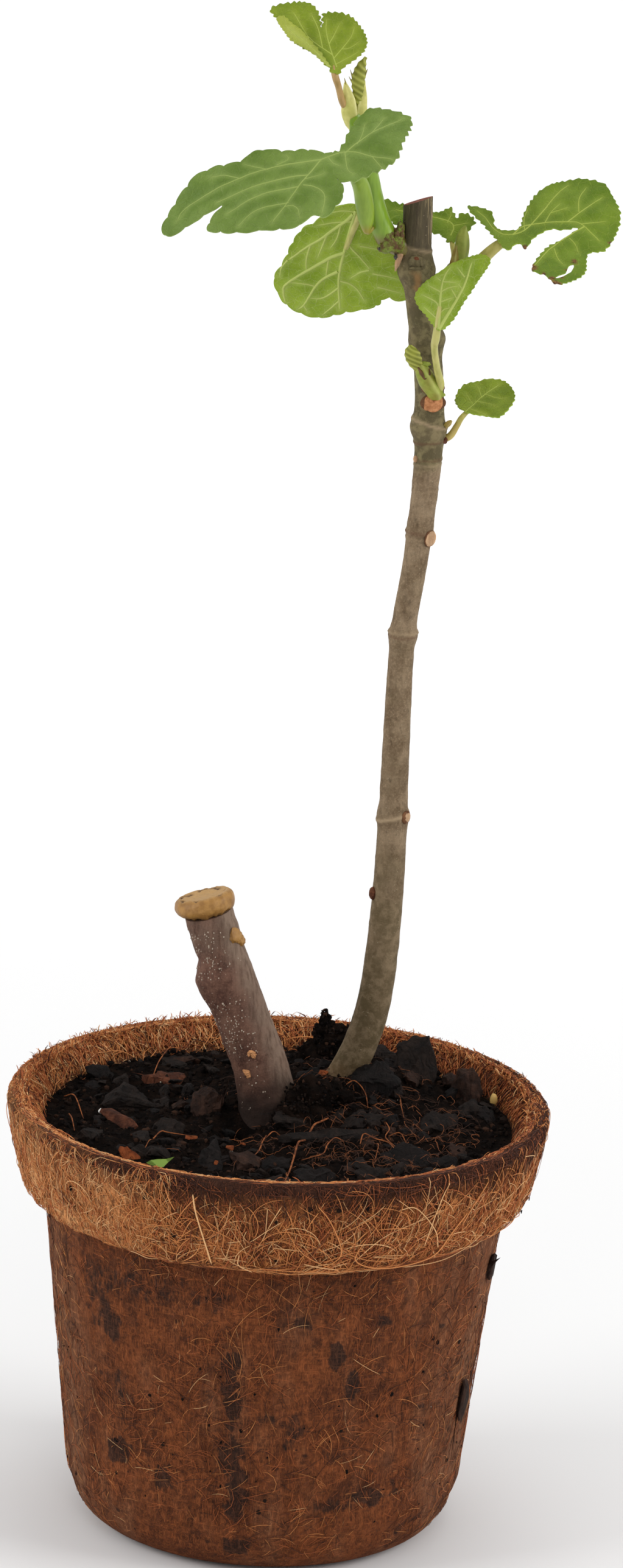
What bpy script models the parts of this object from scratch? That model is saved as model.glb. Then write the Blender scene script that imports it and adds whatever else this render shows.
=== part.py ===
"""A young potted fig: a cut-back stump and one slim cane with three small shoots and seven
leaves, in a coconut-fibre pot with a folded collar, filled with bark mix.

Lengths below are in millimetres and MM turns them into metres. +Z is up, +X is to the right,
-Y is the front, and the origin is the centre of the pot's flat underside.
"""
import math
import random

import bmesh
import bpy
from mathutils import Matrix, Vector, noise

MM = 0.001
GAP = 0.3                    # clearance that neighbouring pieces keep

# ---------------------------------------------------------------- driving dimensions
POT_HEIGHT = 121.5
RIM_RADIUS = 75.0            # over the folded collar
BASE_RADIUS = 53.7           # where the wall's line meets the table
CORNER_RADIUS = 12.0         # rounding between the underside and the wall
WALL = 3.5                   # thickness of the pressed fibre
FLARE_START = 85.0           # the wall opens out above this height
FLARE_RADIUS = 63.0          # outer wall radius at that height
COLLAR_FOOT = 91.0           # lower edge of the folded collar
COLLAR_THICK = 3.0
POT_STEPS = 40

SOIL_EDGE = 115.0            # soil height at the pot's wall
SOIL_MOUND = 8.0             # how much higher it lies round the stems
MOUND_CENTRE = (18.0, 24.0)
MOUND_REACH = 30.0
SOIL_LUMPS = 1.3
SOIL_RINGS = 11

STUMP_FOOT = (-3.2, 4.0, 118.0)
STUMP_RADIUS = 8.2
STUMP_TOP_RADIUS = 6.6
CANE_FOOT = (18.6, 22.0, 123.3)
CANE_RADIUS = 4.8            # above the foot
CANE_WAIST_RADIUS = 3.4      # thinnest, two thirds of the way up
CANE_TOP_RADIUS = 4.0
LEAF_THICK = 0.8


# ---------------------------------------------------------------- scene and collections
def clear_scene():
    for old in list(bpy.data.objects):
        bpy.data.objects.remove(old, do_unlink=True)


def new_collection(name):
    collection = bpy.data.collections.new(name)
    bpy.context.scene.collection.children.link(collection)
    return collection


clear_scene()
PARTS = new_collection("potted_fig_tree")
TOOLS = new_collection("tools")


def material(name, color, roughness, metallic=0.0):
    made = bpy.data.materials.new(name)
    made.use_nodes = True
    shader = made.node_tree.nodes["Principled BSDF"]
    shader.inputs["Base Color"].default_value = (*color, 1.0)
    shader.inputs["Roughness"].default_value = roughness
    shader.inputs["Metallic"].default_value = metallic
    return made


COIR = material("coir", (0.16, 0.05, 0.018), 0.95)
COLLAR_COIR = material("collar_coir", (0.35, 0.14, 0.04), 0.95)
SOIL = material("bark_mix", (0.012, 0.010, 0.009), 0.9)
CHIP = material("bark_chip", (0.03, 0.02, 0.015), 0.85)
STUMP_BARK = material("stump_bark", (0.12, 0.085, 0.065), 0.8)
CANE_BARK = material("cane_bark", (0.14, 0.12, 0.08), 0.75)
WAX = material("grafting_wax", (0.48, 0.27, 0.06), 0.55)
GREEN_STEM = material("green_stem", (0.20, 0.36, 0.03), 0.45)
BUD = material("bud_scales", (0.40, 0.44, 0.14), 0.5)
LEAF_TOP = material("leaf_upper_side", (0.16, 0.30, 0.045), 0.5)
LEAF_UNDER = material("leaf_under_side", (0.24, 0.36, 0.06), 0.6)


def place(name, mesh, finish, smooth_angle=35.0):
    """One named part made of this mesh, at the mesh's own coordinates."""
    mesh.name = name
    mesh.materials.clear()
    mesh.materials.append(finish)
    mesh.shade_smooth()
    mesh.set_sharp_from_angle(angle=math.radians(smooth_angle))
    part = bpy.data.objects.new(name, mesh)
    PARTS.objects.link(part)
    return part


def tool(name, mesh):
    """A shape that is only joined to another one."""
    made = bpy.data.objects.new(name, mesh)
    TOOLS.objects.link(made)
    made.hide_render = True
    made.display_type = 'WIRE'
    return made


def bake(item):
    """The evaluated mesh of an object, with the object and its old mesh removed."""
    bpy.context.view_layer.update()
    graph = bpy.context.evaluated_depsgraph_get()
    mesh = bpy.data.meshes.new_from_object(item.evaluated_get(graph))
    mesh.transform(item.matrix_world)
    bpy.data.objects.remove(item, do_unlink=True)
    return mesh


def fuse(base_mesh, extra_meshes, solver='EXACT'):
    """One closed mesh: the base with every extra mesh joined to it."""
    group = bpy.data.collections.new("fused")
    TOOLS.children.link(group)
    for mesh in extra_meshes:
        group.objects.link(bpy.data.objects.new("extra", mesh))
    base = tool("base", base_mesh)
    union = base.modifiers.new("union", 'BOOLEAN')
    union.operation = 'UNION'
    union.operand_type = 'COLLECTION'
    union.collection = group
    union.solver = solver
    mesh = bake(base)
    for extra in list(group.objects):
        bpy.data.objects.remove(extra, do_unlink=True)
    bpy.data.collections.remove(group)
    return mesh


# ---------------------------------------------------------------- shared shapes
def blend(low, high, value):
    """0 below low, 1 above high, and a smooth step between them."""
    t = min(max((value - low) / (high - low), 0.0), 1.0)
    return t * t * (3.0 - 2.0 * t)


def smooth_through(points, spans, closed=False):
    """Points along a smooth curve (Catmull-Rom) through the given ones."""
    points = [Vector(p) for p in points]
    count = len(points)
    made = []
    for i in range(count if closed else count - 1):
        if closed:
            a, b, c, d = (points[(i + k) % count] for k in (-1, 0, 1, 2))
        else:
            b, c = points[i], points[i + 1]
            a = points[i - 1] if i > 0 else b * 2 - c
            d = points[i + 2] if i + 2 < count else c * 2 - b
        for k in range(spans):
            t = k / spans
            made.append(0.5 * ((b * 2) + (c - a) * t + (a * 2 - b * 5 + c * 4 - d) * t ** 2
                               + (b * 3 - a - c * 3 + d) * t ** 3))
    if not closed:
        made.append(points[-1])
    return made


def aim(direction):
    """A turn that points +Z along a direction and keeps +X to the right."""
    up = Vector(direction).normalized()
    back = up.cross(Vector((1.0, 0.0, 0.0))).normalized()
    return Matrix((back.cross(up), back, up)).transposed().to_4x4()


def limb(points, spans=3, sides=8):
    """A mesh of one tapering limb along (x, y, z, radius) points, in millimetres."""
    path = smooth_through(points, spans)
    curve = bpy.data.curves.new("limb", 'CURVE')
    curve.dimensions = '3D'
    curve.bevel_depth = MM
    curve.bevel_resolution = sides // 2 - 2
    curve.use_fill_caps = True
    spline = curve.splines.new('POLY')
    spline.points.add(len(path) - 1)
    for point, (x, y, z, radius) in zip(spline.points, path):
        point.co = (x * MM, y * MM, z * MM, 1.0)
        point.radius = radius
    mesh = bake(tool("limb", curve))
    bm = bmesh.new()
    bm.from_mesh(mesh)
    bmesh.ops.remove_doubles(bm, verts=bm.verts, dist=0.005 * MM)
    bmesh.ops.recalc_face_normals(bm, faces=bm.faces)
    bm.to_mesh(mesh)
    bm.free()
    return mesh


def cut_flat(mesh, point, normal):
    """Takes off what lies beyond a plane and closes the cut with a flat face."""
    bm = bmesh.new()
    bm.from_mesh(mesh)
    everything = bm.verts[:] + bm.edges[:] + bm.faces[:]
    cut = bmesh.ops.bisect_plane(bm, geom=everything, dist=0.001 * MM,
                                 plane_co=Vector(point) * MM, plane_no=normal, clear_outer=True)
    rim = [item for item in cut["geom_cut"] if isinstance(item, bmesh.types.BMEdge)]
    bmesh.ops.holes_fill(bm, edges=rim)
    bmesh.ops.recalc_face_normals(bm, faces=bm.faces)
    bm.to_mesh(mesh)
    bm.free()
    return mesh


def turned(profile, steps=POT_STEPS):
    """A solid turned about Z from (radius, height) points, down the outer side first."""
    mesh = bpy.data.meshes.new("profile")
    mesh.from_pydata([(r * MM, 0.0, z * MM) for r, z in profile],
                     [(i, i + 1) for i in range(len(profile) - 1)], [])
    item = tool("profile", mesh)
    screw = item.modifiers.new("turn", 'SCREW')
    screw.axis = 'Z'
    screw.steps = screw.render_steps = steps
    screw.use_merge_vertices = True
    screw.merge_threshold = 0.00005
    return bake(item)


def lump(centre, size, rough, seed, level=2):
    """A rounded irregular lump: a sphere stretched to size and roughened by noise."""
    bm = bmesh.new()
    bmesh.ops.create_icosphere(bm, subdivisions=level, radius=1.0)
    for vert in bm.verts:
        push = 1.0 + rough * noise.noise(vert.co * 1.6 + Vector((seed, 0.0, 0.0)))
        vert.co = Vector(c + s * k for c, s, k in zip(centre, size, vert.co * push)) * MM
    mesh = bpy.data.meshes.new("lump")
    bm.to_mesh(mesh)
    bm.free()
    return mesh


def rooted(root, path):
    """The path with its start on a limb: square to the limb's side and GAP clear of it."""
    limb_path, height = root
    i = min(range(1, len(limb_path) - 1), key=lambda k: abs(limb_path[k][2] - height))
    axis = Vector(limb_path[i][:3])
    along = (Vector(limb_path[i + 1][:3]) - Vector(limb_path[i - 1][:3])).normalized()
    out = Vector(path[0][:3]) - axis
    out = (out - along * out.dot(along)).normalized()
    start = axis + out * (limb_path[i][3] + GAP + 0.1)
    radius = path[0][3]
    elbow = start + out * (0.4 * (Vector(path[0][:3]) - start).length)
    return [(*start, radius), (*elbow, radius)] + list(path)


# ---------------------------------------------------------------- pot and collar
def wall_radius(z):
    """Outer radius of the pot's wall: a straight cone that flares under the rim."""
    cone = BASE_RADIUS + (FLARE_RADIUS - BASE_RADIUS) * z / FLARE_START
    flare = max(z - FLARE_START, 0.0) / (POT_HEIGHT - FLARE_START)
    return cone + 4.0 * flare ** 2


def corner(depth):
    """The rounded lower corner, this deep in the wall, from the wall round to the underside."""
    lean = math.atan2(FLARE_RADIUS - BASE_RADIUS, FLARE_START)
    inner = CORNER_RADIUS - depth
    steps = 4
    angles = [-lean + (-math.pi / 2 + lean) * i / steps for i in range(steps + 1)]
    return [(BASE_RADIUS - CORNER_RADIUS + inner * math.cos(a),
             CORNER_RADIUS + inner * math.sin(a)) for a in angles]


FLARE_HEIGHTS = [119.5, 116.0, 112.0, 107.0, 101.0, COLLAR_FOOT]


def build_pot():
    heights = FLARE_HEIGHTS + [FLARE_START, 50.0]
    outer = [(wall_radius(z), z) for z in heights]
    inner = [(wall_radius(z) - WALL, z) for z in reversed(heights)]
    lip = [(wall_radius(POT_HEIGHT) - WALL + 0.9, POT_HEIGHT),
           (wall_radius(POT_HEIGHT) - 0.9, POT_HEIGHT)]
    floor = [(0.0, 0.0)]
    inside = list(reversed(corner(WALL)))
    profile = lip[1:] + outer + corner(0.0) + floor
    profile += [(0.0, WALL)] + inside + inner + lip[:1] + lip[1:]
    return place("coir_pot", turned(profile), COIR)


def build_collar():
    """The top of the fibre mat, folded outwards and down over the wall."""
    rim = RIM_RADIUS
    inner = [(wall_radius(z) + GAP, z) for z in reversed(FLARE_HEIGHTS)]
    outer = [(rim - 1.6, POT_HEIGHT + 0.2), (rim - 0.3, 119.8), (rim, 117.8), (rim - 1.0, 113.5),
             (rim - 2.9, 108.0), (rim - 4.2, 101.0), (rim - 5.4, 94.0),
             (wall_radius(COLLAR_FOOT) + GAP + COLLAR_THICK, COLLAR_FOOT + 0.4)]
    top = [(wall_radius(POT_HEIGHT) + GAP + 0.4, POT_HEIGHT + 0.2)]
    profile = outer + inner + top + outer[:1]
    return place("pot_collar", turned(profile), COLLAR_COIR)


# ---------------------------------------------------------------- soil
SEATS = [(*STUMP_FOOT, STUMP_RADIUS), (*CANE_FOOT, CANE_RADIUS)]


def soil_height(x, y):
    reach = math.hypot(x - MOUND_CENTRE[0], y - MOUND_CENTRE[1]) / MOUND_REACH
    height = SOIL_EDGE + SOIL_MOUND * math.exp(-reach ** 2)
    height += SOIL_LUMPS * noise.noise(Vector((x, y, 0.0)) * 0.11)
    for seat_x, seat_y, seat_z, radius in SEATS:
        away = math.hypot(x - seat_x, y - seat_y)
        height += (seat_z - GAP - height) * (1.0 - blend(radius + 5.5, radius + 14.0, away))
    return height


def bark_piece(rng, x, y):
    """A flat, bent-edged chip lying half sunk in the soil."""
    length, width, thick = rng.uniform(9.0, 15.0), rng.uniform(5.0, 8.0), rng.uniform(2.2, 3.2)
    bm = bmesh.new()
    bmesh.ops.create_cube(bm, size=1.0)
    bmesh.ops.scale(bm, vec=(length * MM, width * MM, thick * MM), verts=bm.verts)
    bmesh.ops.bevel(bm, geom=bm.edges[:], offset=0.7 * MM, affect='EDGES', segments=1,
                    profile=0.5, material=-1)
    turn = Matrix.Rotation(rng.uniform(0.0, math.pi), 4, 'Z')
    tilt = Matrix.Rotation(rng.uniform(-0.45, 0.45), 4, 'X')
    at = Matrix.Translation(Vector((x, y, soil_height(x, y) + 0.4)) * MM)
    bm.transform(at @ turn @ tilt)
    mesh = bpy.data.meshes.new("chip")
    bm.to_mesh(mesh)
    bm.free()
    return mesh


def build_soil():
    """The mix that fills the pot: turned to its inside, with a lumpy, mounded top."""
    low = WALL + GAP
    heights = FLARE_HEIGHTS[3:] + [FLARE_START, 50.0]
    side = [(wall_radius(z) - WALL - GAP, z) for z in heights]
    below = corner(WALL + GAP)
    edge = wall_radius(SOIL_EDGE) - WALL - GAP
    rings = [(edge * i / SOIL_RINGS, SOIL_EDGE) for i in range(SOIL_RINGS + 1)]
    mesh = turned(rings + side + below + [(0.0, low)])
    for vert in mesh.vertices:
        x, y, z = vert.co / MM
        if z > SOIL_EDGE - 1.0:
            rim = blend(edge - 9.0, edge, math.hypot(x, y))
            vert.co.z = ((1.0 - rim) * soil_height(x, y) + rim * SOIL_EDGE) * MM
    rng = random.Random(7)
    chips = []
    while len(chips) < 15:
        angle, away = rng.uniform(0.0, 2.0 * math.pi), 54.0 * math.sqrt(rng.uniform(0.02, 1.0))
        x, y = away * math.cos(angle), away * math.sin(angle)
        if all(math.hypot(x - seat[0], y - seat[1]) > seat[3] + 11.0 for seat in SEATS):
            chips.append(bark_piece(rng, x, y))
    clod = lump((11.5, 39.5, 126.0), (8.5, 7.5, 11.5), 0.45, 3.0)
    knob = lump((52.0, 24.0, 117.5), (4.5, 4.0, 6.0), 0.3, 5.0)
    return place("potting_soil", fuse(mesh, chips + [clod, knob]), SOIL)


def build_wall_chip(name, angle, z, height):
    """A bark scrap stuck to the outside of the wall."""
    bm = bmesh.new()
    bmesh.ops.create_cube(bm, size=1.0)
    bmesh.ops.scale(bm, vec=(1.6 * MM, 5.5 * MM, height * MM), verts=bm.verts)
    bmesh.ops.bevel(bm, geom=bm.edges[:], offset=0.5 * MM, affect='EDGES', segments=1,
                    profile=0.5, material=-1)
    mesh = bpy.data.meshes.new(name)
    bm.to_mesh(mesh)
    bm.free()
    chip = place(name, mesh, CHIP)
    lean = math.atan2(FLARE_RADIUS - BASE_RADIUS, FLARE_START)
    radius = wall_radius(z) + GAP + 0.9
    chip.location = (radius * math.cos(angle) * MM, radius * math.sin(angle) * MM, z * MM)
    chip.rotation_euler = (0.0, lean, angle)
    return chip


# ---------------------------------------------------------------- stump and wax
def stump_axis():
    x, y, z = STUMP_FOOT
    return [(x + 0.6, y, z - 12.0, STUMP_RADIUS + 1.2), (x, y, z, STUMP_RADIUS + 0.5),
            (-6.0, 3.8, 131.0, 7.7), (-11.0, 3.4, 144.0, 7.5), (-15.2, 3.0, 155.0, 7.9),
            (-17.9, 2.6, 163.0, 7.0), (-21.6, 2.0, 175.0, STUMP_TOP_RADIUS)]


def build_stump():
    mesh = limb(stump_axis(), spans=3, sides=16)
    cut_flat(mesh, STUMP_FOOT, (0.0, 0.0, -1.0))
    return place("cut_stump", mesh, STUMP_BARK)


def build_wax():
    """A thick drop-edged cap of wax over the cut, and one run of it on the bark."""
    below, top = (Vector(p[:3]) for p in stump_axis()[-2:])
    along = (top - below).normalized()
    thick, over = 5.4, 8.4
    profile = [(0.0, thick), (over - 2.2, thick), (over - 0.6, thick - 1.0), (over, thick - 2.6),
               (over - 0.5, 0.8), (over - 1.4, 0.0), (0.0, 0.0)]
    mesh = turned(profile, steps=24)
    cap = place("wax_cap", mesh, WAX)
    cap.matrix_world = Matrix.Translation((top + along * GAP) * MM) @ aim(along)
    return cap


def build_wax_drop():
    """A blob of wax on the bark, flat against the stump's right side."""
    below, top = (Vector(p) for p in stump_axis()[-2:])
    on_axis = below.lerp(top, 0.48)
    axis, along = on_axis.to_3d(), (top - below).to_3d().normalized()
    out = Vector((0.85, -0.52, 0.0))
    out = (out - along * out.dot(along)).normalized()
    thick = 1.2
    drop = place("wax_drop", lump((0.0, 0.0, 0.0), (2.6, 2.8, thick), 0.2, 9.0), WAX)
    seat = axis + out * (on_axis[3] + GAP + thick)
    drop.matrix_world = Matrix.Translation(seat * MM) @ aim(out)
    return drop


# ---------------------------------------------------------------- cane and shoots
CANE_AXIS = [(14.0, 22.4, 117.0), (18.4, 22.0, 123.3), (22.6, 21.6, 133.5), (25.6, 21.0, 146.0),
             (27.3, 20.6, 165.0), (28.1, 20.3, 190.0), (28.1, 20.0, 222.0), (28.5, 20.0, 252.0),
             (31.2, 20.0, 276.0), (33.0, 20.0, 304.0), (32.0, 20.0, 326.0), (29.0, 20.0, 345.0),
             (27.3, 20.0, 357.0), (26.8, 20.0, 375.0)]
CANE_NODES = [(354.5, 1.1), (335.5, 0.6), (310.5, 0.6), (283.0, 0.25), (252.0, 0.6), (199.5, 0.5)]
CUT_POINT = (27.0, 20.0, 374.3)
CUT_NORMAL = (-0.33, 0.12, 0.94)


def cane_radius(z):
    """The cane's taper, from foot to waist and out again to the old wood at its top."""
    down = blend(118.0, 270.0, z)
    up = blend(270.0, 320.0, z)
    radius = CANE_RADIUS + (CANE_WAIST_RADIUS - CANE_RADIUS) * down
    radius += (CANE_TOP_RADIUS - CANE_WAIST_RADIUS) * up
    for node_z, swell in CANE_NODES:
        radius += swell * math.exp(-((z - node_z) / 2.6) ** 2)
    return radius


def evenly(points, spacing):
    """Points about this far apart along the smooth curve through the given ones."""
    fine = smooth_through(points, 40)
    kept = [fine[0]]
    for point in fine[1:]:
        if (point - kept[-1]).length >= spacing:
            kept.append(point)
    return kept


CANE_PATH = [(*p, cane_radius(p[2])) for p in evenly(CANE_AXIS, 3.0)]


def build_cane():
    mesh = limb(CANE_PATH, spans=1, sides=12)
    cut_flat(mesh, CANE_FOOT, (0.0, 0.0, -1.0))
    cut_flat(mesh, CUT_POINT, CUT_NORMAL)
    return place("main_cane", mesh, CANE_BARK)


UPPER_SHOOT = rooted((CANE_PATH, 361.5),
                     [(19.2, 18.6, 363.6, 2.7), (16.6, 17.6, 368.2, 2.9), (14.6, 16.8, 374.0, 2.9),
                      (13.0, 15.8, 381.0, 2.7), (11.2, 14.6, 389.0, 2.5), (8.8, 13.6, 396.4, 2.3)])
RIGHT_SHOOT = rooted((CANE_PATH, 349.5), [(35.2, 20.8, 351.6, 2.1), (37.8, 21.3, 355.4, 2.2)])
UPPER_PATH = [tuple(p) for p in smooth_through(UPPER_SHOOT, 4)]
RIGHT_PATH = [tuple(p) for p in smooth_through(RIGHT_SHOOT, 4)]


def build_shoots():
    place("upper_shoot", limb(UPPER_SHOOT, sides=12), GREEN_STEM)
    place("right_shoot", limb(RIGHT_SHOOT, sides=12), GREEN_STEM)


# ---------------------------------------------------------------- leaves
class Leaf:
    """A blade cut to its outline, bent, and fused to its stalk.

    The outline is in (along the heading, to the left of it) millimetres from the junction of
    blade and stalk, and rib is where the midrib ends. bend is how far the blade droops along
    it, cups across it and ripples, each 20 mm out. root is the limb it grows on, and where.
    """

    def __init__(self, name, junction, facing, heading, root, stalk, rib, bend, finish,
                 outline, grid=4.0):
        self.name, self.outline, self.rib, self.finish = name, outline, rib, finish
        self.stalk = rooted(root, stalk)
        self.droop, self.cup, self.ripple = bend
        self.grid = grid
        normal = Vector(facing).normalized()
        along = Vector(heading)
        along = (along - normal * along.dot(normal)).normalized()
        side = normal.cross(along)
        turn = Matrix((along, side, normal)).transposed().to_4x4()
        self.matrix = Matrix.Translation(Vector(junction) * MM) @ turn

    def height(self, u, v):
        """How far the blade lies above its flat plane."""
        reach = math.hypot(u, v)
        wave = math.sin(3.0 * math.atan2(v, u) + 0.6) * (reach / 20.0) ** 2
        return -self.droop * (u / 20.0) ** 2 + self.cup * (v / 20.0) ** 2 + self.ripple * wave


def toothed(outline, pitch, depth):
    """The outline as evenly spaced points, every second one pulled in to leave teeth."""
    smooth = smooth_through([(u, v, 0.0) for u, v in outline], 12, closed=True)
    loop = smooth + smooth[:1]
    lengths = [(b - a).length for a, b in zip(loop, loop[1:])]
    count = 2 * round(sum(lengths) / pitch)
    made, walked, i = [], 0.0, 0
    for k in range(count):
        target = sum(lengths) * k / count
        while walked + lengths[i] < target:
            walked += lengths[i]
            i += 1
        step = loop[i + 1] - loop[i]
        at = loop[i] + step * ((target - walked) / lengths[i])
        inward = Vector((-step.y, step.x, 0.0)).normalized()
        made.append(at + inward * (depth if k % 2 else 0.0))
    return made


def turns_left(outline):
    """True for an outline that runs counter-clockwise."""
    pairs = zip(outline, outline[1:] + outline[:1])
    return sum(a[0] * b[1] - b[0] * a[1] for a, b in pairs) > 0.0


def blade(leaf):
    outline = leaf.outline if turns_left(leaf.outline) else leaf.outline[::-1]
    bm = bmesh.new()
    bm.faces.new([bm.verts.new(p) for p in toothed(outline, 3.4, 0.5)])
    for axis in (Vector((1.0, 0.0, 0.0)), Vector((0.0, 1.0, 0.0))):
        for k in range(-12, 13):
            bmesh.ops.bisect_plane(bm, geom=bm.verts[:] + bm.edges[:] + bm.faces[:], dist=0.01,
                                   plane_co=axis * (k + 0.37) * leaf.grid, plane_no=axis)
    bmesh.ops.triangulate(bm, faces=bm.faces)
    for vert in bm.verts:
        vert.co.z = leaf.height(vert.co.x, vert.co.y) - LEAF_THICK / 2
    bmesh.ops.recalc_face_normals(bm, faces=bm.faces)
    bmesh.ops.scale(bm, vec=(MM, MM, MM), verts=bm.verts)
    mesh = bpy.data.meshes.new("blade")
    bm.to_mesh(mesh)
    bm.free()
    item = tool("blade", mesh)
    shell = item.modifiers.new("thickness", 'SOLIDIFY')
    shell.thickness = LEAF_THICK * MM
    shell.offset = 0.0
    return bake(item)


def build_leaf(leaf):
    """Stalk points are (x, y, z, radius) from the stem to the junction, then under the rib."""
    inverse = leaf.matrix.inverted()
    stalk = []
    for x, y, z, radius in leaf.stalk:
        local = inverse @ (Vector((x, y, z)) * MM) / MM
        stalk.append((*local, radius))
    end_radius = leaf.stalk[-1][3]
    u_tip, v_tip = leaf.rib
    steps = 4
    for k in range(steps + 1):
        share = 0.08 + 0.92 * k / steps
        u, v = u_tip * share, v_tip * share
        radius = end_radius * (1.0 - 0.7 * share)
        stalk.append((u, v, leaf.height(u, v) - LEAF_THICK * 0.7 - radius * 0.3, radius))
    mesh = fuse(blade(leaf), [limb(stalk, spans=2, sides=8)])
    made = place(leaf.name, mesh, leaf.finish, smooth_angle=40.0)
    made.matrix_world = leaf.matrix
    return made


LEAVES = [
    Leaf("top_leaf", (2.9, 8.0, 411.1), (-0.1, -0.75, 0.65), (-0.31, 0.65, 0.70),
         root=(UPPER_PATH, 394.0), rib=(19.0, 0.0), bend=(0.5, 4.0, 0.5), finish=LEAF_TOP,
         stalk=[(5.2, 11.6, 396.6, 1.1), (4.6, 9.9, 400.4, 1.1), (3.8, 9.2, 405.4, 1.1),
                (3.1, 8.4, 409.3, 1.0)],
         outline=[(6.0, 3.5), (11.5, 8.0), (19.0, 10.5), (23.5, 11.5), (24.0, 4.5), (22.0, 0.5),
                  (14.5, 0.0), (18.5, -2.0), (16.5, -7.0), (12.5, -9.5), (6.5, -10.5),
                  (3.0, -8.5), (0.5, -2.5), (-1.0, 0.5)]),
    Leaf("wide_leaf", (-1.2, -5.0, 389.2), (-0.12, -0.66, 0.74), (-0.47, -0.62, -0.63),
         root=(UPPER_PATH, 368.5), rib=(23.5, -1.5), bend=(2.0, -1.5, 0.8), finish=LEAF_TOP,
         stalk=[(13.2, 12.6, 370.0, 1.8), (12.0, 11.0, 374.0, 2.0), (10.6, 8.6, 380.4, 1.9),
                (7.4, 2.8, 386.0, 1.5), (1.0, -3.0, 388.2, 1.2)],
         outline=[(-1.5, -3.5), (2.0, -11.5), (4.0, -16.0), (9.0, -19.5), (14.0, -27.5),
                  (20.5, -30.5), (30.5, -31.5), (32.5, -28.0), (26.0, -21.5), (21.5, -17.5),
                  (27.5, -18.5), (29.0, -16.5), (27.5, -9.0), (24.5, -1.0), (21.0, 5.5),
                  (16.0, 8.0), (15.0, 11.0), (9.5, 12.0), (5.5, 11.5), (3.0, 8.5), (3.5, 6.5),
                  (2.0, 12.0), (-3.5, 15.5), (-10.0, 18.5), (-16.0, 17.5), (-24.0, 15.5),
                  (-25.0, 11.0), (-23.0, 3.5), (-15.5, 2.5), (-5.0, 3.5)]),
    Leaf("hanging_leaf", (10.0, 23.0, 369.9), (0.05, 0.86, 0.5), (-0.07, 0.50, -0.86),
         root=(UPPER_PATH, 371.0), rib=(37.0, 1.0), bend=(0.5, 0.6, 0.5), finish=LEAF_UNDER,
         stalk=[(14.4, 22.2, 371.4, 1.4), (11.8, 23.2, 371.0, 1.2)],
         outline=[(-1.5, 3.5), (5.5, 10.0), (11.0, 14.5), (22.0, 17.5), (30.0, 19.5),
                  (37.5, 16.0), (41.0, 8.0), (37.5, 0.0), (33.0, -8.5), (29.0, -11.5),
                  (29.0, -17.0), (23.0, -20.5), (15.0, -19.5), (8.5, -13.0), (-0.5, -4.5)]),
    Leaf("right_leaf", (50.6, 14.0, 366.1), (-0.1, -0.62, 0.78), (0.95, 0.17, 0.26),
         root=(RIGHT_PATH, 353.6), rib=(27.0, 4.0), bend=(2.0, 0.8, 0.8), finish=LEAF_TOP,
         stalk=[(41.4, 18.6, 356.0, 1.6), (44.4, 16.8, 359.4, 1.5), (48.6, 14.8, 363.8, 1.3)],
         outline=[(-1.0, 4.0), (-1.0, 10.0), (-6.5, 13.5), (-4.0, 6.0), (-2.0, 0.0),
                  (-0.5, -4.5), (3.0, -3.0), (4.5, -5.5), (7.5, -2.5), (12.5, -0.5),
                  (16.5, -1.5), (20.5, -1.5), (15.5, -4.5), (10.0, -6.5), (4.0, -13.0),
                  (7.0, -16.5), (9.0, -20.5), (14.5, -19.0), (18.0, -16.5), (20.5, -10.5),
                  (25.0, -10.0), (29.5, -5.5), (33.0, 1.0), (32.5, 8.0), (31.0, 12.0),
                  (23.5, 15.0), (14.5, 13.5), (8.0, 7.5), (4.5, 2.0)]),
    Leaf("front_leaf", (34.0, 4.0, 342.3), (0.25, 0.85, -0.4), (0.56, 0.21, 0.80),
         root=(CANE_PATH, 323.0), rib=(19.0, -3.0), bend=(0.0, 5.0, 0.4), finish=LEAF_UNDER,
         stalk=[(35.2, 13.2, 325.5, 1.1), (33.6, 9.6, 331.5, 1.0), (32.8, 6.0, 338.0, 1.0),
                (33.4, 4.6, 340.6, 0.9)],
         outline=[(-0.5, -3.0), (1.5, -8.5), (3.5, -12.0), (8.0, -12.0), (13.0, -10.0),
                  (17.5, -8.0), (23.0, -3.5), (23.0, 0.0), (16.0, 0.5), (9.5, 1.0),
                  (4.0, 1.5), (-0.5, 1.0)]),
    Leaf("small_leaf", (42.5, 19.0, 316.1), (-0.05, -0.45, 0.9), (0.85, 0.46, 0.27),
         root=(CANE_PATH, 308.6), rib=(12.5, 1.0), bend=(0.5, 3.0, 0.4), finish=LEAF_TOP,
         stalk=[(39.4, 19.6, 309.6, 1.0), (40.4, 19.2, 312.1, 0.8), (41.9, 19.1, 314.9, 0.7)],
         outline=[(-0.5, 2.5), (0.5, 6.0), (5.0, 9.0), (12.0, 8.0), (16.0, 5.0), (15.5, -0.5),
                  (12.0, -4.5), (6.5, -7.0), (4.0, -4.5), (1.0, -1.5)]),
    Leaf("back_leaf", (36.5, 29.0, 362.4), (0.0, -0.8, 0.6), (-0.92, 0.24, 0.32),
         root=(RIGHT_PATH, 354.0), rib=(16.0, 0.0), bend=(0.5, 2.0, 0.6), finish=LEAF_TOP,
         stalk=[(37.8, 25.0, 355.4, 0.9), (37.4, 27.2, 358.6, 0.8), (36.8, 28.6, 361.2, 0.7)],
         outline=[(3.0, 0.5), (8.5, 2.0), (16.5, 3.0), (21.5, -2.0), (18.0, -3.0),
                  (11.5, -4.0), (6.5, -5.5), (4.0, -8.0), (1.5, -6.0), (0.0, -8.0),
                  (-3.5, -7.5), (-3.5, -4.5), (-2.0, -0.5), (0.0, 1.5)], grid=3.0),
]


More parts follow.
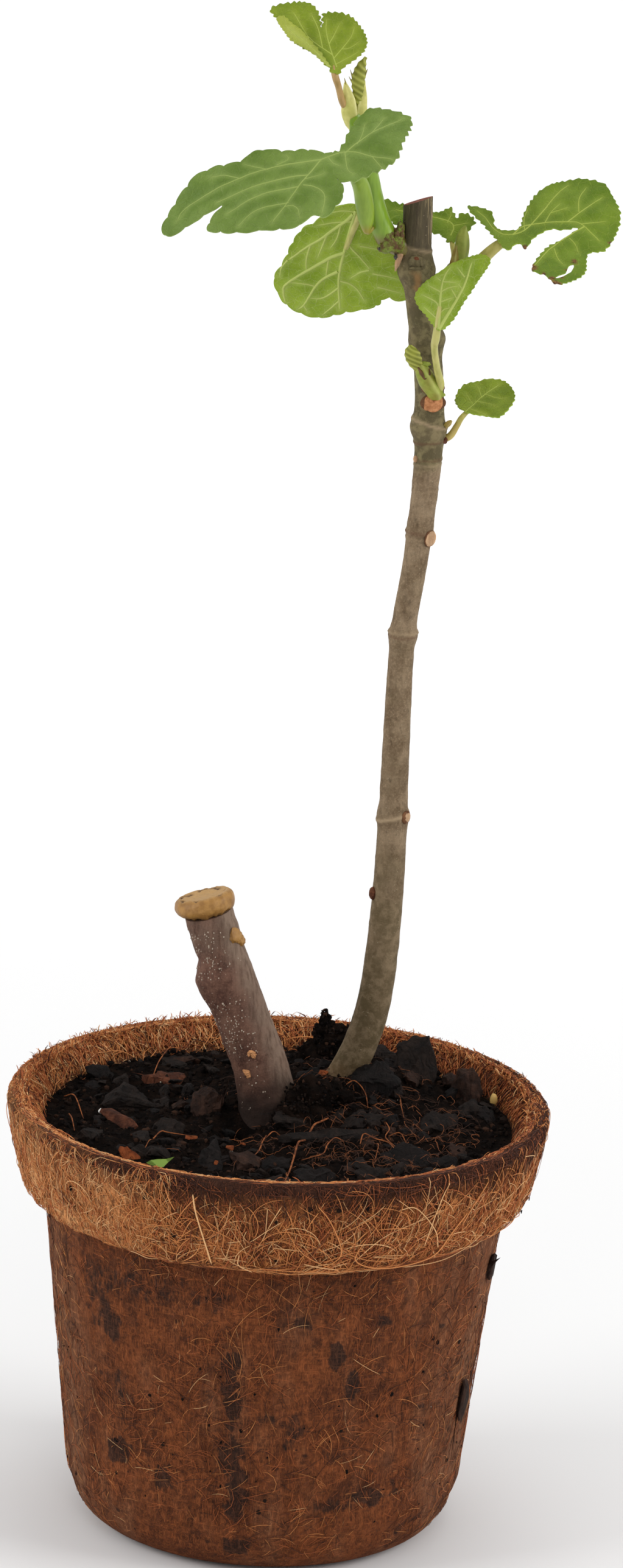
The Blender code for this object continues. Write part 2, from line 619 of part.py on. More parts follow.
# ---------------------------------------------------------------- buds
def scale_shape(height, radius, flat, lean, at):
    """A pointed bud scale, flattened front to back, leaning in its own base's plane."""
    profile = [(0.0, height), (radius * 0.3, height * 0.84), (radius * 0.75, height * 0.6),
               (radius, height * 0.34), (radius * 0.86, height * 0.1), (radius * 0.7, 0.0),
               (0.0, 0.0)]
    mesh = turned(profile, steps=10)
    turn = Matrix.Rotation(math.radians(lean), 4, 'Y')
    mesh.transform(Matrix.Translation(Vector(at) * MM) @ turn @ Matrix.Diagonal((1, flat, 1, 1)))
    return mesh


def build_tip_bud(name, path, height, radius, leaf_height):
    """Two scales with the next folded leaf between them, on the tip of a shoot."""
    tip, before = Vector(path[-1][:3]), Vector(path[-3][:3])
    up = (tip - before).normalized()
    core = scale_shape(leaf_height, radius * 0.8, 0.8, 4.0, (0.3, 0.0, 0.0))
    left = scale_shape(height, radius * 0.8, 0.7, -6.0, (-radius * 0.35, -0.4, 0.0))
    right = scale_shape(height * 0.95, radius * 0.75, 0.7, 8.0, (radius * 0.45, 0.3, 0.0))
    mesh = fuse(core, [left, right])
    cut_flat(mesh, (0.0, 0.0, 0.35), (0.0, 0.0, -1.0))
    bud = place(name, mesh, BUD)
    seat = tip + up * (GAP + radius * 0.3) + Vector((0.4, 0.0, 0.0))
    bud.matrix_world = Matrix.Translation(seat * MM) @ aim((0.12, -0.03, 1.0))
    return bud


def build_side_bud():
    """A short green sheath with a folded leaf at its end, at the foot of the front leaf."""
    sheath = rooted((CANE_PATH, 323.6), [(30.8, 14.0, 324.6, 1.6), (29.8, 12.9, 327.8, 1.8),
                                         (28.4, 12.3, 330.6, 1.2)])
    blade_lump = lump((26.8, 12.0, 332.0), (2.2, 1.0, 3.9), 0.2, 4.0)
    return place("side_bud", fuse(limb(sheath, sides=8), [blade_lump]), BUD)


build_pot()
build_collar()
build_soil()
build_wall_chip("bark_chip_low", math.radians(-21.0), 43.5, 14.0)
build_wall_chip("bark_chip_high", math.radians(-15.0), 81.0, 8.0)
build_stump()
build_wax()
build_wax_drop()
build_cane()
build_shoots()
for grown in LEAVES:
    build_leaf(grown)
build_tip_bud("top_bud", UPPER_PATH, 12.4, 2.5, 17.0)
build_tip_bud("right_bud", RIGHT_PATH, 8.5, 2.1, 11.5)
build_side_bud()
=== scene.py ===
"""The potted fig tree, dressed: matted coir pot, bark mix, stump and wax, cane, shoots and leaves.

Lengths are in millimetres and MM turns them into metres. +Z is up, +X to the right, -Y the front,
and the origin is the centre of the pot's underside. Angles run round +Z from the right.
"""
import math
import random

import bmesh
import bpy
import numpy as np
from mathutils import Matrix, Vector, noise
from mathutils.geometry import intersect_point_line


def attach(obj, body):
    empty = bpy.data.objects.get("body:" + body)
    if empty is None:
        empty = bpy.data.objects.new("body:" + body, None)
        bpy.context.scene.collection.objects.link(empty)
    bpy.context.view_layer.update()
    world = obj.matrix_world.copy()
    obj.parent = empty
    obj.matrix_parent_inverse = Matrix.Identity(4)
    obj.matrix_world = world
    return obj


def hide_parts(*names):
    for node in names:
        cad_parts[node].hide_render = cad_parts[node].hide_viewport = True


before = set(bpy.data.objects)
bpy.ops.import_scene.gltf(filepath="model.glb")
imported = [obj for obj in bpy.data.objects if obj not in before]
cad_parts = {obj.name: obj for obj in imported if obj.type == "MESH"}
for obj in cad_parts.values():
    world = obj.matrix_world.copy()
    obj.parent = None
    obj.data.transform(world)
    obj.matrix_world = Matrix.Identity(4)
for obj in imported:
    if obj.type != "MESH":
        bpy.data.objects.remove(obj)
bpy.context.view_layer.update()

MM = 0.001
TURN = 2 * math.pi
FRONT = -0.5 * math.pi
ALL_ROUND = (-180, 180)

POT_HEIGHT = 121.5
BASE_RADIUS = 53.7
CORNER_RADIUS = 12
WALL = 3.5
FLARE_START = 85
FLARE_RADIUS = 63
SOIL_EDGE = 115
SOIL_FLOOR = 109
COLLAR_FOOT = 91.2


# ---------------------------------------------------------------- shader building
def paint(shade):
    """A display colour, 0 to 255, as the linear colour a socket takes."""
    parts = [c / 255 for c in shade]
    return (*[c / 12.92 if c <= 0.04045 else ((c + 0.055) / 1.055) ** 2.4 for c in parts], 1)


def scaled(shade, scale):
    return tuple(min(c * scale, 255) for c in shade)


class Graph:
    """A node tree, and short ways to add to it. place is the vector that its patterns read."""

    def __init__(self, tree):
        self.tree = tree

    def node(self, kind, links, **settings):
        """A new node's outputs: settings first, then its sockets, each linked or given a value."""
        made = self.tree.nodes.new('ShaderNode' + kind)
        for key, value in settings.items():
            setattr(made, key, value)
        for socket, source in links.items():
            if isinstance(source, bpy.types.NodeSocket):
                self.tree.links.new(source, made.inputs[socket])
            else:
                made.inputs[socket].default_value = source
        return made.outputs

    def sums(self, operation, first, second=0):
        return self.node('Math', {0: first, 1: second}, operation=operation)[0]

    def times(self, first, second):
        return self.sums('MULTIPLY', first, second)

    def blend(self, share, first, second):
        """A mix of two colours, each a socket or (red, green, blue)."""
        first, second = (paint(c) if isinstance(c, tuple) else c for c in (first, second))
        return self.node('Mix', {0: share, 6: first, 7: second}, data_type='RGBA')[2]

    def between(self, value, low, high):
        """0 below low and 1 above high, with a smooth step."""
        return self.node('MapRange', {0: value, 1: low, 2: high}, interpolation_type='SMOOTHSTEP')[0]

    def beyond(self, value, low, high):
        return self.sums('SUBTRACT', 1, self.between(value, low, high))

    def cloud(self, scale, detail=3, rough=0.55, limits=None, thin=1, at=None):
        """A noise, cut to a mask between limits. A small thin draws it out in upright streaks."""
        at = at or self.place
        if thin != 1:
            at = self.node('Mapping', {'Vector': at, 'Scale': (1, 1, thin)})[0]
        made = self.node('TexNoise', {'Vector': at, 'Scale': scale, 'Detail': detail, 'Roughness': rough})[0]
        return self.between(made, *limits) if limits else made


def effect(name, inputs, output):
    """An empty node group with named sockets: its graph, its inputs and the end to link to."""
    tree = bpy.data.node_groups.new(name, 'ShaderNodeTree')
    for label, value in inputs.items():
        kind = 'NodeSocketFloat' if isinstance(value, float) else 'NodeSocketVector'
        socket = tree.interface.new_socket(label, in_out='INPUT', socket_type=kind)
        if value is not None:
            socket.default_value = value
    tree.interface.new_socket(output, in_out='OUTPUT', socket_type='NodeSocketFloat')
    graph, given = Graph(tree), tree.nodes.new('NodeGroupInput').outputs
    graph.place = given["Vector"]
    return graph, given, tree.nodes.new('NodeGroupOutput').inputs[0]


def make_fibre_lines():
    """Long thin wandering lines: the contour lines of a noise that is drawn out one way."""
    g, given, end = effect("fibre lines", {"Vector": None, "Turn": None, "Stretch": (1.0, 1.0, 0.06),
                                           "Scale": 0.5, "Width": 0.03}, "Line")
    wander = g.node('TexNoise', {'Vector': g.place, 'Scale': 0.14, 'Detail': 2})[1]
    shift = g.node('VectorMath', {0: wander, 1: (0.5, 0.5, 0.5)}, operation='SUBTRACT')[0]
    shift = g.node('VectorMath', {0: shift, 'Scale': 2.4}, operation='SCALE')[0]
    moved = g.node('VectorMath', {0: g.place, 1: shift}, operation='ADD')[0]
    turned = g.node('Mapping', {'Vector': moved, 'Rotation': given["Turn"], 'Scale': given["Stretch"]})[0]
    field = g.cloud(given["Scale"], 1.5, at=turned)
    off = g.sums('ABSOLUTE', g.sums('SUBTRACT', field, 0.5))
    g.tree.links.new(g.beyond(off, 0, given["Width"]), end)
    return g.tree


def make_speckle():
    """Small round spots, most of the cells left empty."""
    g, given, end = effect("speckle", {"Vector": None, "Scale": 0.5, "Size": 0.25, "Empty": 0.6}, "Spot")
    cells = g.node('TexVoronoi', {'Vector': g.place, 'Scale': given["Scale"]})
    near = g.beyond(cells[0], g.times(given["Size"], 0.5), given["Size"])
    chosen = g.sums('GREATER_THAN', cells[1], given["Empty"])
    g.tree.links.new(g.times(near, chosen), end)
    return g.tree


def make_net():
    """The fine net of veins: the borders of warped cells."""
    g, given, end = effect("vein net", {"Vector": None, "Scale": 0.4, "Width": 0.06}, "Line")
    wander = g.node('TexNoise', {'Vector': g.place, 'Scale': 0.5, 'Detail': 2})[1]
    moved = g.node('VectorMath', {0: wander, 1: (1.6, 1.6, 0), 2: g.place}, operation='MULTIPLY_ADD')[0]
    cells = g.node('TexVoronoi', {'Vector': moved, 'Scale': given["Scale"]},
                   feature='DISTANCE_TO_EDGE', voronoi_dimensions='2D')
    g.tree.links.new(g.beyond(cells[0], 0, given["Width"]), end)
    return g.tree


FIBRE_LINES, SPECKLE, VEIN_NET = make_fibre_lines(), make_speckle(), make_net()


class Finish(Graph):
    """A material in the making. place is in millimetres, and shade is the colour laid on so far."""

    def __init__(self, name, roughness=0.8, specular=0.3):
        self.made = bpy.data.materials.new(name)
        self.made.use_nodes = True
        super().__init__(self.made.node_tree)
        self.shader = self.tree.nodes["Principled BSDF"].inputs
        self.shader["Roughness"].default_value = roughness
        self.shader["Specular IOR Level"].default_value = specular
        place = self.node('TexCoord', {})["Object"]
        self.place = self.node('VectorMath', {0: place, 'Scale': 1000}, operation='SCALE')[0]

    def mark(self, name):
        return self.node('Attribute', {}, attribute_name=name)["Fac"]

    def lines(self, scale, width, turn=(0, 0, 0), stretch=(1, 1, 0.06)):
        return self.node('Group', {"Vector": self.place, "Scale": scale, "Width": width, "Turn": turn,
                                   "Stretch": stretch}, node_tree=FIBRE_LINES)[0]

    def specks(self, scale, size, empty):
        return self.node('Group', {"Vector": self.place, "Scale": scale, "Size": size, "Empty": empty},
                         node_tree=SPECKLE)[0]

    def three_ways(self, scale, width):
        """Fibre lines up the wall, round it and slanting both ways, and those up it alone."""
        up = self.lines(scale, width)
        flat = self.lines(scale, width, stretch=(0.07, 0.07, 1))
        slant = self.lines(scale * 1.1, width, (0.5, 0.7, 0.3))
        other = self.lines(scale * 0.9, width, (-0.5, -0.8, 0.2))
        return self.sums('MAXIMUM', self.sums('MAXIMUM', up, flat), self.sums('MAXIMUM', slant, other)), up

    def patched(self, dark, light, *cloud):
        self.shade = self.blend(self.cloud(*cloud), dark, light)

    def coat(self, mask, shade, share=None):
        """Lay a colour over the shade by a mask, or by the named mark, thinned by a share."""
        mask = self.mark(mask) if isinstance(mask, str) else mask
        self.shade = self.blend(mask if share is None else self.times(mask, share), self.shade, shade)

    def done(self, height, depth):
        """The material, with its shade and a relief that is this many millimetres deep."""
        self.tree.links.new(self.shade, self.shader["Base Color"])
        relief = self.node('Bump', {'Height': height, 'Distance': depth * MM, 'Strength': 1})[0]
        self.tree.links.new(relief, self.shader["Normal"])
        return self.made


def plain_finish(name, shade, roughness=0.8, specular=0.3):
    """The finish of things too small and many to carry a pattern of their own."""
    f = Finish(name, roughness, specular)
    f.shader["Base Color"].default_value = paint(shade)
    return f.made


def mottled_finish(name, roughness, specular, dark, light, patches, relief, depth):
    """Two tones in patches, and a relief. Both are given as the arguments of a cloud."""
    f = Finish(name, roughness, specular)
    f.patched(dark, light, *patches)
    return f.done(f.cloud(*relief), depth)


# ---------------------------------------------------------------- finishes of the pot and the mix
def pressed_coir():
    """The pot's wall: reddish brown fibre pressed flat, with damp stains and paler ends."""
    f = Finish("pressed_coir", 0.95, 0.08)
    mat, up = f.three_ways(0.95, 0.04)
    hair = f.lines(2, 0.05, (0, 1.1, 0.4), (1, 1, 0.1))
    small = f.cloud(0.55, 7, 0.7, (0.48, 0.64))
    f.patched((82, 45, 30), (116, 64, 38), 0.05, 5, 0.6, (0.40, 0.60))
    f.coat(f.cloud(0.5, 5, 0.65, (0.4, 0.64), 0.12), (70, 40, 29), 0.4)
    f.coat(small, (60, 36, 27), 0.6)
    f.coat(mat, (148, 84, 48), 0.5)
    f.coat(hair, (164, 100, 60), 0.3)
    # pale: painted light on the wall's sides over random paler patches; inside the pot, the paler lining.
    f.coat("pale", f.blend(up, (130, 88, 64), (164, 118, 86)))
    f.coat(f.cloud(0.13, 6, 0.68, (0.54, 0.64)), (56, 36, 29), 0.5)
    torn = f.sums('SUBTRACT', f.cloud(0.6, 6, 0.68, thin=0.5), 0.5)
    torn = f.sums('ADD', f.mark("stain"), f.times(torn, 1.3))
    f.coat(f.between(torn, 0.3, 0.64), f.blend(mat, (40, 32, 29), (66, 46, 38)), 0.85)
    f.coat(f.specks(0.16, 0.17, 0.7), (42, 31, 28), 0.75)
    f.coat(f.specks(0.42, 0.2, 0.84), (42, 31, 28), 0.75)
    height = f.sums('ADD', f.times(mat, 0.5), f.times(small, -0.6))
    return f.done(f.sums('ADD', height, f.times(hair, 0.3)), 0.3)


def golden_coir():
    """The folded collar: brushed orange-brown fibre with dark pits, dark brown at the lip."""
    f = Finish("golden_coir", 0.95, 0.08)
    mat, up = f.three_ways(0.9, 0.05)
    pits = f.lines(0.5, 0.04, stretch=(1, 1, 0.2))
    f.patched((128, 69, 37), (172, 102, 56), 0.12, 4, 0.55, (0.38, 0.62), 0.5)
    # pale: painted light on the collar's left side, and less on its right.
    f.coat("pale", (216, 154, 102))
    f.coat(mat, (196, 132, 78), 0.5)
    f.coat(pits, (76, 42, 26), 0.6)
    f.coat(f.cloud(0.45, 6, 0.65, (0.48, 0.68)), (70, 38, 25), 0.6)
    f.coat("lip", f.blend(up, (56, 33, 25), (98, 56, 38)))
    f.coat("stain", (66, 42, 32))
    return f.done(f.sums('SUBTRACT', f.times(mat, 0.7), pits), 0.35)


def dark_mix():
    f = Finish("bark_mix", 1, 0.04)
    f.patched((17, 13, 11), (36, 26, 21), 0.25, 5, 0.65, (0.4, 0.68))
    f.coat(f.specks(0.9, 0.14, 0.88), (84, 58, 44), 0.4)
    return f.done(f.cloud(1.1, 9, 0.72), 0.9)


def bark_finish(name, dark, light, rough=0.8):
    """A bark chip: soft patches and layered grain, darker along the layers."""
    f = Finish(name, rough, 0.14)
    grain = f.lines(0.5, 0.12, (0.2, 1.3, 0.4), (1, 1, 0.2))
    f.patched(dark, light, 0.3, 5, 0.55, (0.3, 0.72))
    f.coat(grain, scaled(dark, 0.55), 0.35)
    return f.done(f.sums('SUBTRACT', f.cloud(0.9, 7, 0.65), f.times(grain, 0.3)), 0.8)


COIR, COLLAR_COIR, GROUND = pressed_coir(), golden_coir(), dark_mix()
FIBRES = [plain_finish(name, shade, rough) for name, shade, rough in (
    ("fibre_umber", (60, 34, 24), 0.85), ("fibre_brown", (104, 56, 34), 0.8),
    ("fibre_ginger", (168, 92, 50), 0.75), ("fibre_straw", (206, 134, 76), 0.65),
    ("fibre_pale", (226, 176, 122), 0.6))]
CHIPS = [bark_finish(*given) for given in (
    ("bark_black", (17, 14, 13), (33, 26, 24)), ("bark_dark", (24, 19, 17), (43, 33, 28)),
    ("bark_brown", (38, 26, 21), (68, 46, 36)), ("bark_red", (66, 37, 27), (112, 66, 46)))]
GRIT = [plain_finish(name, shade, 0.95, 0.06) for name, shade in (
    ("grit_black", (17, 13, 12)), ("grit_dark", (31, 23, 19)),
    ("grit_brown", (56, 38, 29)), ("grit_pale", (160, 148, 134)))]


# ---------------------------------------------------------------- finishes of the plant
def stem_bark(name, dark, light):
    """Smooth young bark: soft patches, faint upright streaks, fine grain and small dark flecks."""
    f = Finish(name, 0.75, 0.18)
    f.patched(dark, light, 0.2, 6, 0.68, (0.34, 0.66), 0.75)
    streak = f.cloud(0.9, 4, 0.6, (0.4, 0.7), 0.1)
    f.coat(streak, scaled(dark, 0.74), 0.22)
    f.coat(f.cloud(1.8, 5, 0.72, (0.46, 0.72)), scaled(light, 1.22), 0.5)
    f.coat(f.cloud(0.8, 5, 0.7, (0.56, 0.7), 0.5), scaled(dark, 0.56), 0.5)
    return f, streak


def stump_bark():
    f, streak = stem_bark("stump_bark", (78, 51, 42), (118, 86, 71))
    # grey: grey bark, paler on the stump's right side as painted light.
    f.coat("grey", f.blend(streak, (134, 113, 97), (98, 79, 65)))
    f.coat("damp", (42, 31, 26))
    f.coat(f.specks(0.6, 0.13, 0.74), (186, 168, 148), 0.5)
    return f.done(f.sums('SUBTRACT', f.cloud(0.8, 7, 0.7), f.times(streak, 0.15)), 0.4)


def cane_bark():
    f, streak = stem_bark("cane_bark", (102, 83, 61), (142, 122, 97))
    mottle = f.cloud(0.33, 6, 0.7, (0.42, 0.62))
    f.coat("upper", f.blend(mottle, (84, 77, 52), (124, 114, 80)))
    f.coat("olive", f.blend(mottle, (94, 80, 55), (128, 110, 84)))
    f.coat("dead", f.blend(streak, (84, 75, 56), (66, 57, 44)))
    # Pale streaks on the stub, strongest on its right side, where they are partly painted light.
    f.coat(f.cloud(2.6, 2, 0.55, (0.56, 0.62), 0.035), (150, 132, 98), f.mark("pale_streaks_and_light"))
    f.coat("pale_ring", (168, 146, 116))
    f.coat("dark_ring", (100, 68, 50))
    f.coat("rust", (150, 114, 72))
    f.coat("damp", (136, 100, 68))
    pores = f.specks(0.7, 0.14, 0.5)
    f.coat(pores, (184, 168, 138), 0.6)
    height = f.sums('SUBTRACT', f.cloud(0.9, 7, 0.68), f.times(streak, 0.1))
    return f.done(f.sums('ADD', height, f.times(pores, 0.4)), 0.3)


def wax_finish():
    f = Finish("grafting_wax", 0.5, 0.35)
    f.patched((138, 97, 46), (170, 126, 66), 0.35, 5, 0.55, (0.32, 0.68))
    f.coat("top", (190, 152, 100))
    f.coat(f.cloud(1.6, 4, 0.7, (0.52, 0.72)), (108, 70, 36), 0.35)
    # Darker in the groove on top and under the drip edge.
    f.coat("dark_groove_and_edge", (66, 40, 22))
    return f.done(f.cloud(0.9, 5, 0.55), 0.2)


def green_finish(name, dark, light, rough=0.4):
    f = Finish(name, rough, 0.5)
    # Upright streaks of the two greens: the stem's own striping, and painted highlight streaks along its
    # gloss.
    f.patched(dark, light, 0.7, 3, 0.55, (0.35, 0.68), 0.12)
    f.coat(f.cloud(0.09, 2, 0.55, (0.3, 0.7)), scaled(light, 1.12), 0.5)
    f.coat("red", (172, 104, 70))
    f.coat("brown", (104, 72, 34))
    return f.done(f.cloud(1.2, 3, thin=0.12), 0.08)


def leaf_side(name, dark, light, vein, net, rough, raised):
    """One side of a blade. net is how strongly the small veins show, and raised is 1 or -1."""
    f = Finish(name, rough, 0.22)
    flat = f.node('UVMap', {}, uv_map="UVMap")[0]
    f.place = f.node('VectorMath', {0: flat, 'Scale': 100}, operation='SCALE')[0]
    wander = f.node('TexNoise', {'Vector': f.place, 'Scale': 0.35, 'Detail': 2})["Color"]
    drawn = f.node('VectorMath', {0: wander, 1: (1.3, 1.3, 1.3), 2: f.place}, operation='MULTIPLY_ADD')[0]
    coarse, small = (f.node('Group', {"Vector": drawn, "Scale": scale, "Width": width},
                            node_tree=VEIN_NET)[0] for scale, width in ((0.3, 0.05), (0.95, 0.1)))
    f.patched(dark, light, 0.11, 3, 0.55, (0.32, 0.68))
    f.coat(f.cloud(1.6, 4, 0.7, (0.3, 0.75)), scaled(dark, 0.8), 0.22)
    lines = f.sums('MAXIMUM', coarse, f.times(small, 0.45))
    f.coat(lines, vein, net)
    f.coat("vein", vein, 0.3)
    f.coat("brown", f.blend(f.cloud(1.4, 4, 0.55, (0.35, 0.6)), (72, 40, 18), (128, 92, 42)))
    return f.done(f.sums('ADD', f.times(lines, 0.8 * raised), f.cloud(1.2, 4)), 0.1)


def bud_finish(name, dark, light, rib):
    f = Finish(name, 0.5, 0.35)
    f.patched(dark, light, 0.3, 4, 0.55, (0.3, 0.7))
    f.coat("rib", rib)
    f.coat("brown", (128, 84, 38))
    return f.done(f.cloud(1.6, 4), 0.12)


WAX = wax_finish()
GREEN, STALK, PALE_STALK, OCHRE_STALK, ROSY_STALK = (green_finish(*given) for given in (
    ("green_stem", (104, 136, 26), (122, 152, 38), 0.32),
    ("green_stalk", (112, 138, 34), (130, 154, 48), 0.36),
    ("pale_stalk", (150, 150, 70), (180, 174, 102)), ("ochre_stalk", (158, 150, 64), (182, 172, 92)),
    ("rosy_stalk", (150, 122, 66), (176, 142, 90))))
DEEP_TOP, DEEP_UNDER, FRESH_TOP, YOUNG_TOP, YOUNG_UNDER, PALE_UNDER = (leaf_side(*given) for given in (
    ("leaf_deep_upper", (92, 118, 40), (114, 138, 60), (156, 174, 96), 0.14, 0.5, -1),
    ("leaf_deep_under", (118, 142, 62), (138, 160, 84), (184, 196, 130), 0.35, 0.6, 1),
    ("leaf_fresh_upper", (89, 116, 16), (113, 137, 32), (154, 170, 68), 0.3, 0.5, -1),
    ("leaf_young_upper", (106, 127, 16), (130, 148, 34), (162, 172, 70), 0.25, 0.5, -1),
    ("leaf_young_under", (124, 151, 30), (149, 172, 50), (186, 200, 116), 0.42, 0.58, 1),
    ("leaf_pale_under", (138, 150, 44), (160, 170, 66), (188, 194, 110), 0.3, 0.58, 1)))
UPPER_VEIN, FRESH_VEIN, UNDER_VEIN = (plain_finish(name, shade, 0.5, 0.35) for name, shade in (
    ("vein_upper", (144, 162, 82)), ("vein_fresh", (160, 174, 70)), ("vein_under", (176, 188, 98))))
BUD = [bud_finish(*given) for given in (
    ("bud_scale", (184, 182, 96), (212, 206, 126), (224, 220, 156)),
    ("folded_leaf", (106, 110, 26), (136, 140, 44), (172, 174, 80)),
    ("bud_green", (122, 136, 40), (158, 168, 72), (180, 190, 100)),
    ("bud_ochre", (150, 130, 56), (170, 156, 80), (186, 178, 110)),
    ("bud_torn", (78, 50, 22), (118, 84, 36), (130, 96, 44)))]


# ---------------------------------------------------------------- mesh building
def as_mesh(bm, finish=None):
    """The mesh of a bmesh in millimetres, in metres, all of it in one finish where that is given."""
    if finish is not None:
        for face in bm.faces:
            face.material_index = finish
    bmesh.ops.scale(bm, vec=(MM, MM, MM), verts=bm.verts)
    mesh = bpy.data.meshes.new("made")
    bm.to_mesh(mesh)
    bm.free()
    return mesh


def joined(meshes):
    """One mesh of several, each keeping its own material numbers."""
    bm = bmesh.new()
    for mesh in meshes:
        bm.from_mesh(mesh)
        bpy.data.meshes.remove(mesh)
    mesh = bpy.data.meshes.new("joined")
    bm.to_mesh(mesh)
    bm.free()
    return mesh


def piece(name, mesh, finishes, slot, *nodes, smooth=40):
    """A finished piece that rides on the plant and stands for these CAD nodes."""
    mesh.name = name
    for finish in finishes:
        mesh.materials.append(finish)
    mesh.shade_smooth()
    mesh.set_sharp_from_angle(angle=math.radians(smooth))
    made = bpy.data.objects.new(name, mesh)
    bpy.context.scene.collection.objects.link(made)
    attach(made, "root")
    if nodes:
        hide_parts(*nodes)


def repeated(name, verts, faces, deal, finishes, slot, *nodes, smooth=180):
    """A piece of many like shapes: verts is (shapes, points, 3), and faces are those of one shape.

    deal gives each shape the number of its finish.
    """
    count, points = verts.shape[:2]
    every = [[v + first for v in face] for first in range(0, count * points, points) for face in faces]
    mesh = bpy.data.meshes.new(name)
    mesh.from_pydata((verts * MM).reshape(-1, 3).tolist(), [], every)
    mesh.polygons.foreach_set("material_index", np.repeat(deal, len(faces)).astype(np.int32))
    piece(name, mesh, finishes, slot, *nodes, smooth=smooth)


def clamp(value, low=0, high=1):
    return min(max(value, low), high)


def step(low, high, value):
    t = clamp((value - low) / (high - low))
    return t * t * (3 - 2 * t)


def hump(value, centre, width):
    return math.exp(-((value - centre) / width) ** 2)


def bumps(at, *layers):
    """The sum of a few noises at a place, each given as its height and its scale."""
    return sum(height * noise.noise(at * scale) for height, scale in layers)


def smooth_through(points, spans, closed=False):
    """Points along a smooth curve (Catmull-Rom) through the given ones."""
    points = [Vector(p) for p in points]
    count = len(points)
    made = []
    for i in range(count if closed else count - 1):
        if closed:
            a, b, c, d = (points[(i + k) % count] for k in (-1, 0, 1, 2))
        else:
            b, c = points[i], points[i + 1]
            a = points[i - 1] if i > 0 else b * 2 - c
            d = points[i + 2] if i + 2 < count else c * 2 - b
        for k in range(spans):
            t = k / spans
            made.append(0.5 * ((b * 2) + (c - a) * t + (a * 2 - b * 5 + c * 4 - d) * t ** 2
                               + (b * 3 - a - c * 3 + d) * t ** 3))
    return made if closed else made + points[-1:]


def evenly(points, spacing):
    """Points this far apart along the smooth curve through the given ones."""
    fine = smooth_through(points, 30)
    lengths = [0]
    for a, b in zip(fine, fine[1:]):
        lengths.append(lengths[-1] + (b.to_3d() - a.to_3d()).length)
    count = max(round(lengths[-1] / spacing), 2)
    made, i = [], 0
    for k in range(count + 1):
        target = lengths[-1] * k / count
        while i < len(fine) - 2 and lengths[i + 1] < target:
            i += 1
        span = max(lengths[i + 1] - lengths[i], 1e-9)
        made.append(fine[i].lerp(fine[i + 1], min((target - lengths[i]) / span, 1)))
    return made


def axes_of(path, i):
    """The ways right and back across a limb at a point of its path."""
    ahead = (path[min(i + 1, len(path) - 1)].to_3d() - path[max(i - 1, 0)].to_3d()).normalized()
    right = (Vector((1, 0, 0)) - ahead * ahead.x).normalized()
    return right, ahead.cross(right)


def limb(points, spacing=0.6, sides=32, relief=None, marks=None, flat=1, finish=0):
    """A closed stem: a sheet wrapped round (x, y, z, radius) points.

    relief(angle, z, place) adds to the radius, and marks holds one such rule for each named
    attribute. Angle 0 is to the right and FRONT faces the front. flat squeezes it front to back.
    """
    path = evenly(points, spacing)
    rows = len(path) - 1
    rings = [axes_of(path, i) for i in range(rows + 1)]
    bm = bmesh.new()
    bm.loops.layers.uv.new("UVMap")
    layers = {name: bm.verts.layers.float.new(name) for name in (marks or {})}
    bmesh.ops.create_grid(bm, x_segments=sides, y_segments=rows, size=0.5, calc_uvs=True)
    for vert in bm.verts:
        angle = (vert.co.x + 0.5) * TURN
        row = min(round((vert.co.y + 0.5) * rows), rows)
        right, back = rings[row]
        out = right * math.cos(angle) + back * (math.sin(angle) * flat)
        place = path[row].to_3d() + out * path[row][3]
        if angle > math.pi:
            angle -= TURN
        if relief:
            place = place + out * relief(angle, place.z, place)
        vert.co = place
        for name, layer in layers.items():
            vert[layer] = clamp(marks[name](angle, place.z, place))
    bmesh.ops.remove_doubles(bm, verts=bm.verts, dist=0.001)
    bmesh.ops.holes_fill(bm, edges=[edge for edge in bm.edges if edge.is_boundary])
    bmesh.ops.recalc_face_normals(bm, faces=bm.faces)
    return as_mesh(bm, finish)


def lump(centre, size, rough, seed, level=3, turn=None, finish=0):
    """A rounded irregular lump: a ball stretched to size and roughened by noise."""
    bm = bmesh.new()
    bmesh.ops.create_icosphere(bm, subdivisions=level, radius=1)
    for vert in bm.verts:
        push = 1 + rough * noise.fractal(vert.co * 1.5 + Vector((seed, 0, 0)), 1, 2, 3)
        vert.co = Vector(s * k for s, k in zip(size, vert.co * push))
    if turn:
        bm.transform(turn)
    bmesh.ops.translate(bm, vec=centre, verts=bm.verts)
    return as_mesh(bm, finish)


def aim(direction):
    """A turn that points +Z along a direction and keeps +X to the right."""
    up = Vector(direction).normalized()
    back = up.cross(Vector((1, 0, 0))).normalized()
    return Matrix((back.cross(up), back, up)).transposed().to_4x4()


def strands(name, paths, radii, deal, finishes, slot):
    """Fine fibres, three-sided and pointed at both ends, from (fibres, points, 3) paths."""
    count, points = paths.shape[:2]
    along = np.gradient(paths, axis=1)
    along /= np.linalg.norm(along, axis=2, keepdims=True) + 1e-9
    aside = np.cross(along, np.array([0.31, 0.52, 0.79]))
    aside /= np.linalg.norm(aside, axis=2, keepdims=True) + 1e-9
    across = np.cross(along, aside)
    ring = [paths + (aside * math.cos(a) + across * math.sin(a)) * radii[:, None, None]
            for a in (TURN * k / 3 for k in range(3))]
    inner = (points - 2) * 3
    ring = np.stack(ring, axis=2)[:, 1:-1].reshape(count, inner, 3)
    faces = []
    for k, nxt in ((0, 1), (1, 2), (2, 0)):
        faces.append((0, 1 + nxt, 1 + k))
        for a in range(1, inner - 2, 3):
            faces.append((a + k, a + nxt, a + 3 + nxt, a + 3 + k))
        faces.append((inner - 2 + k, inner - 2 + nxt, inner + 1))
    verts = np.concatenate([paths[:, :1], ring, paths[:, -1:]], axis=1)
    repeated(name, verts, faces, deal, finishes, slot)


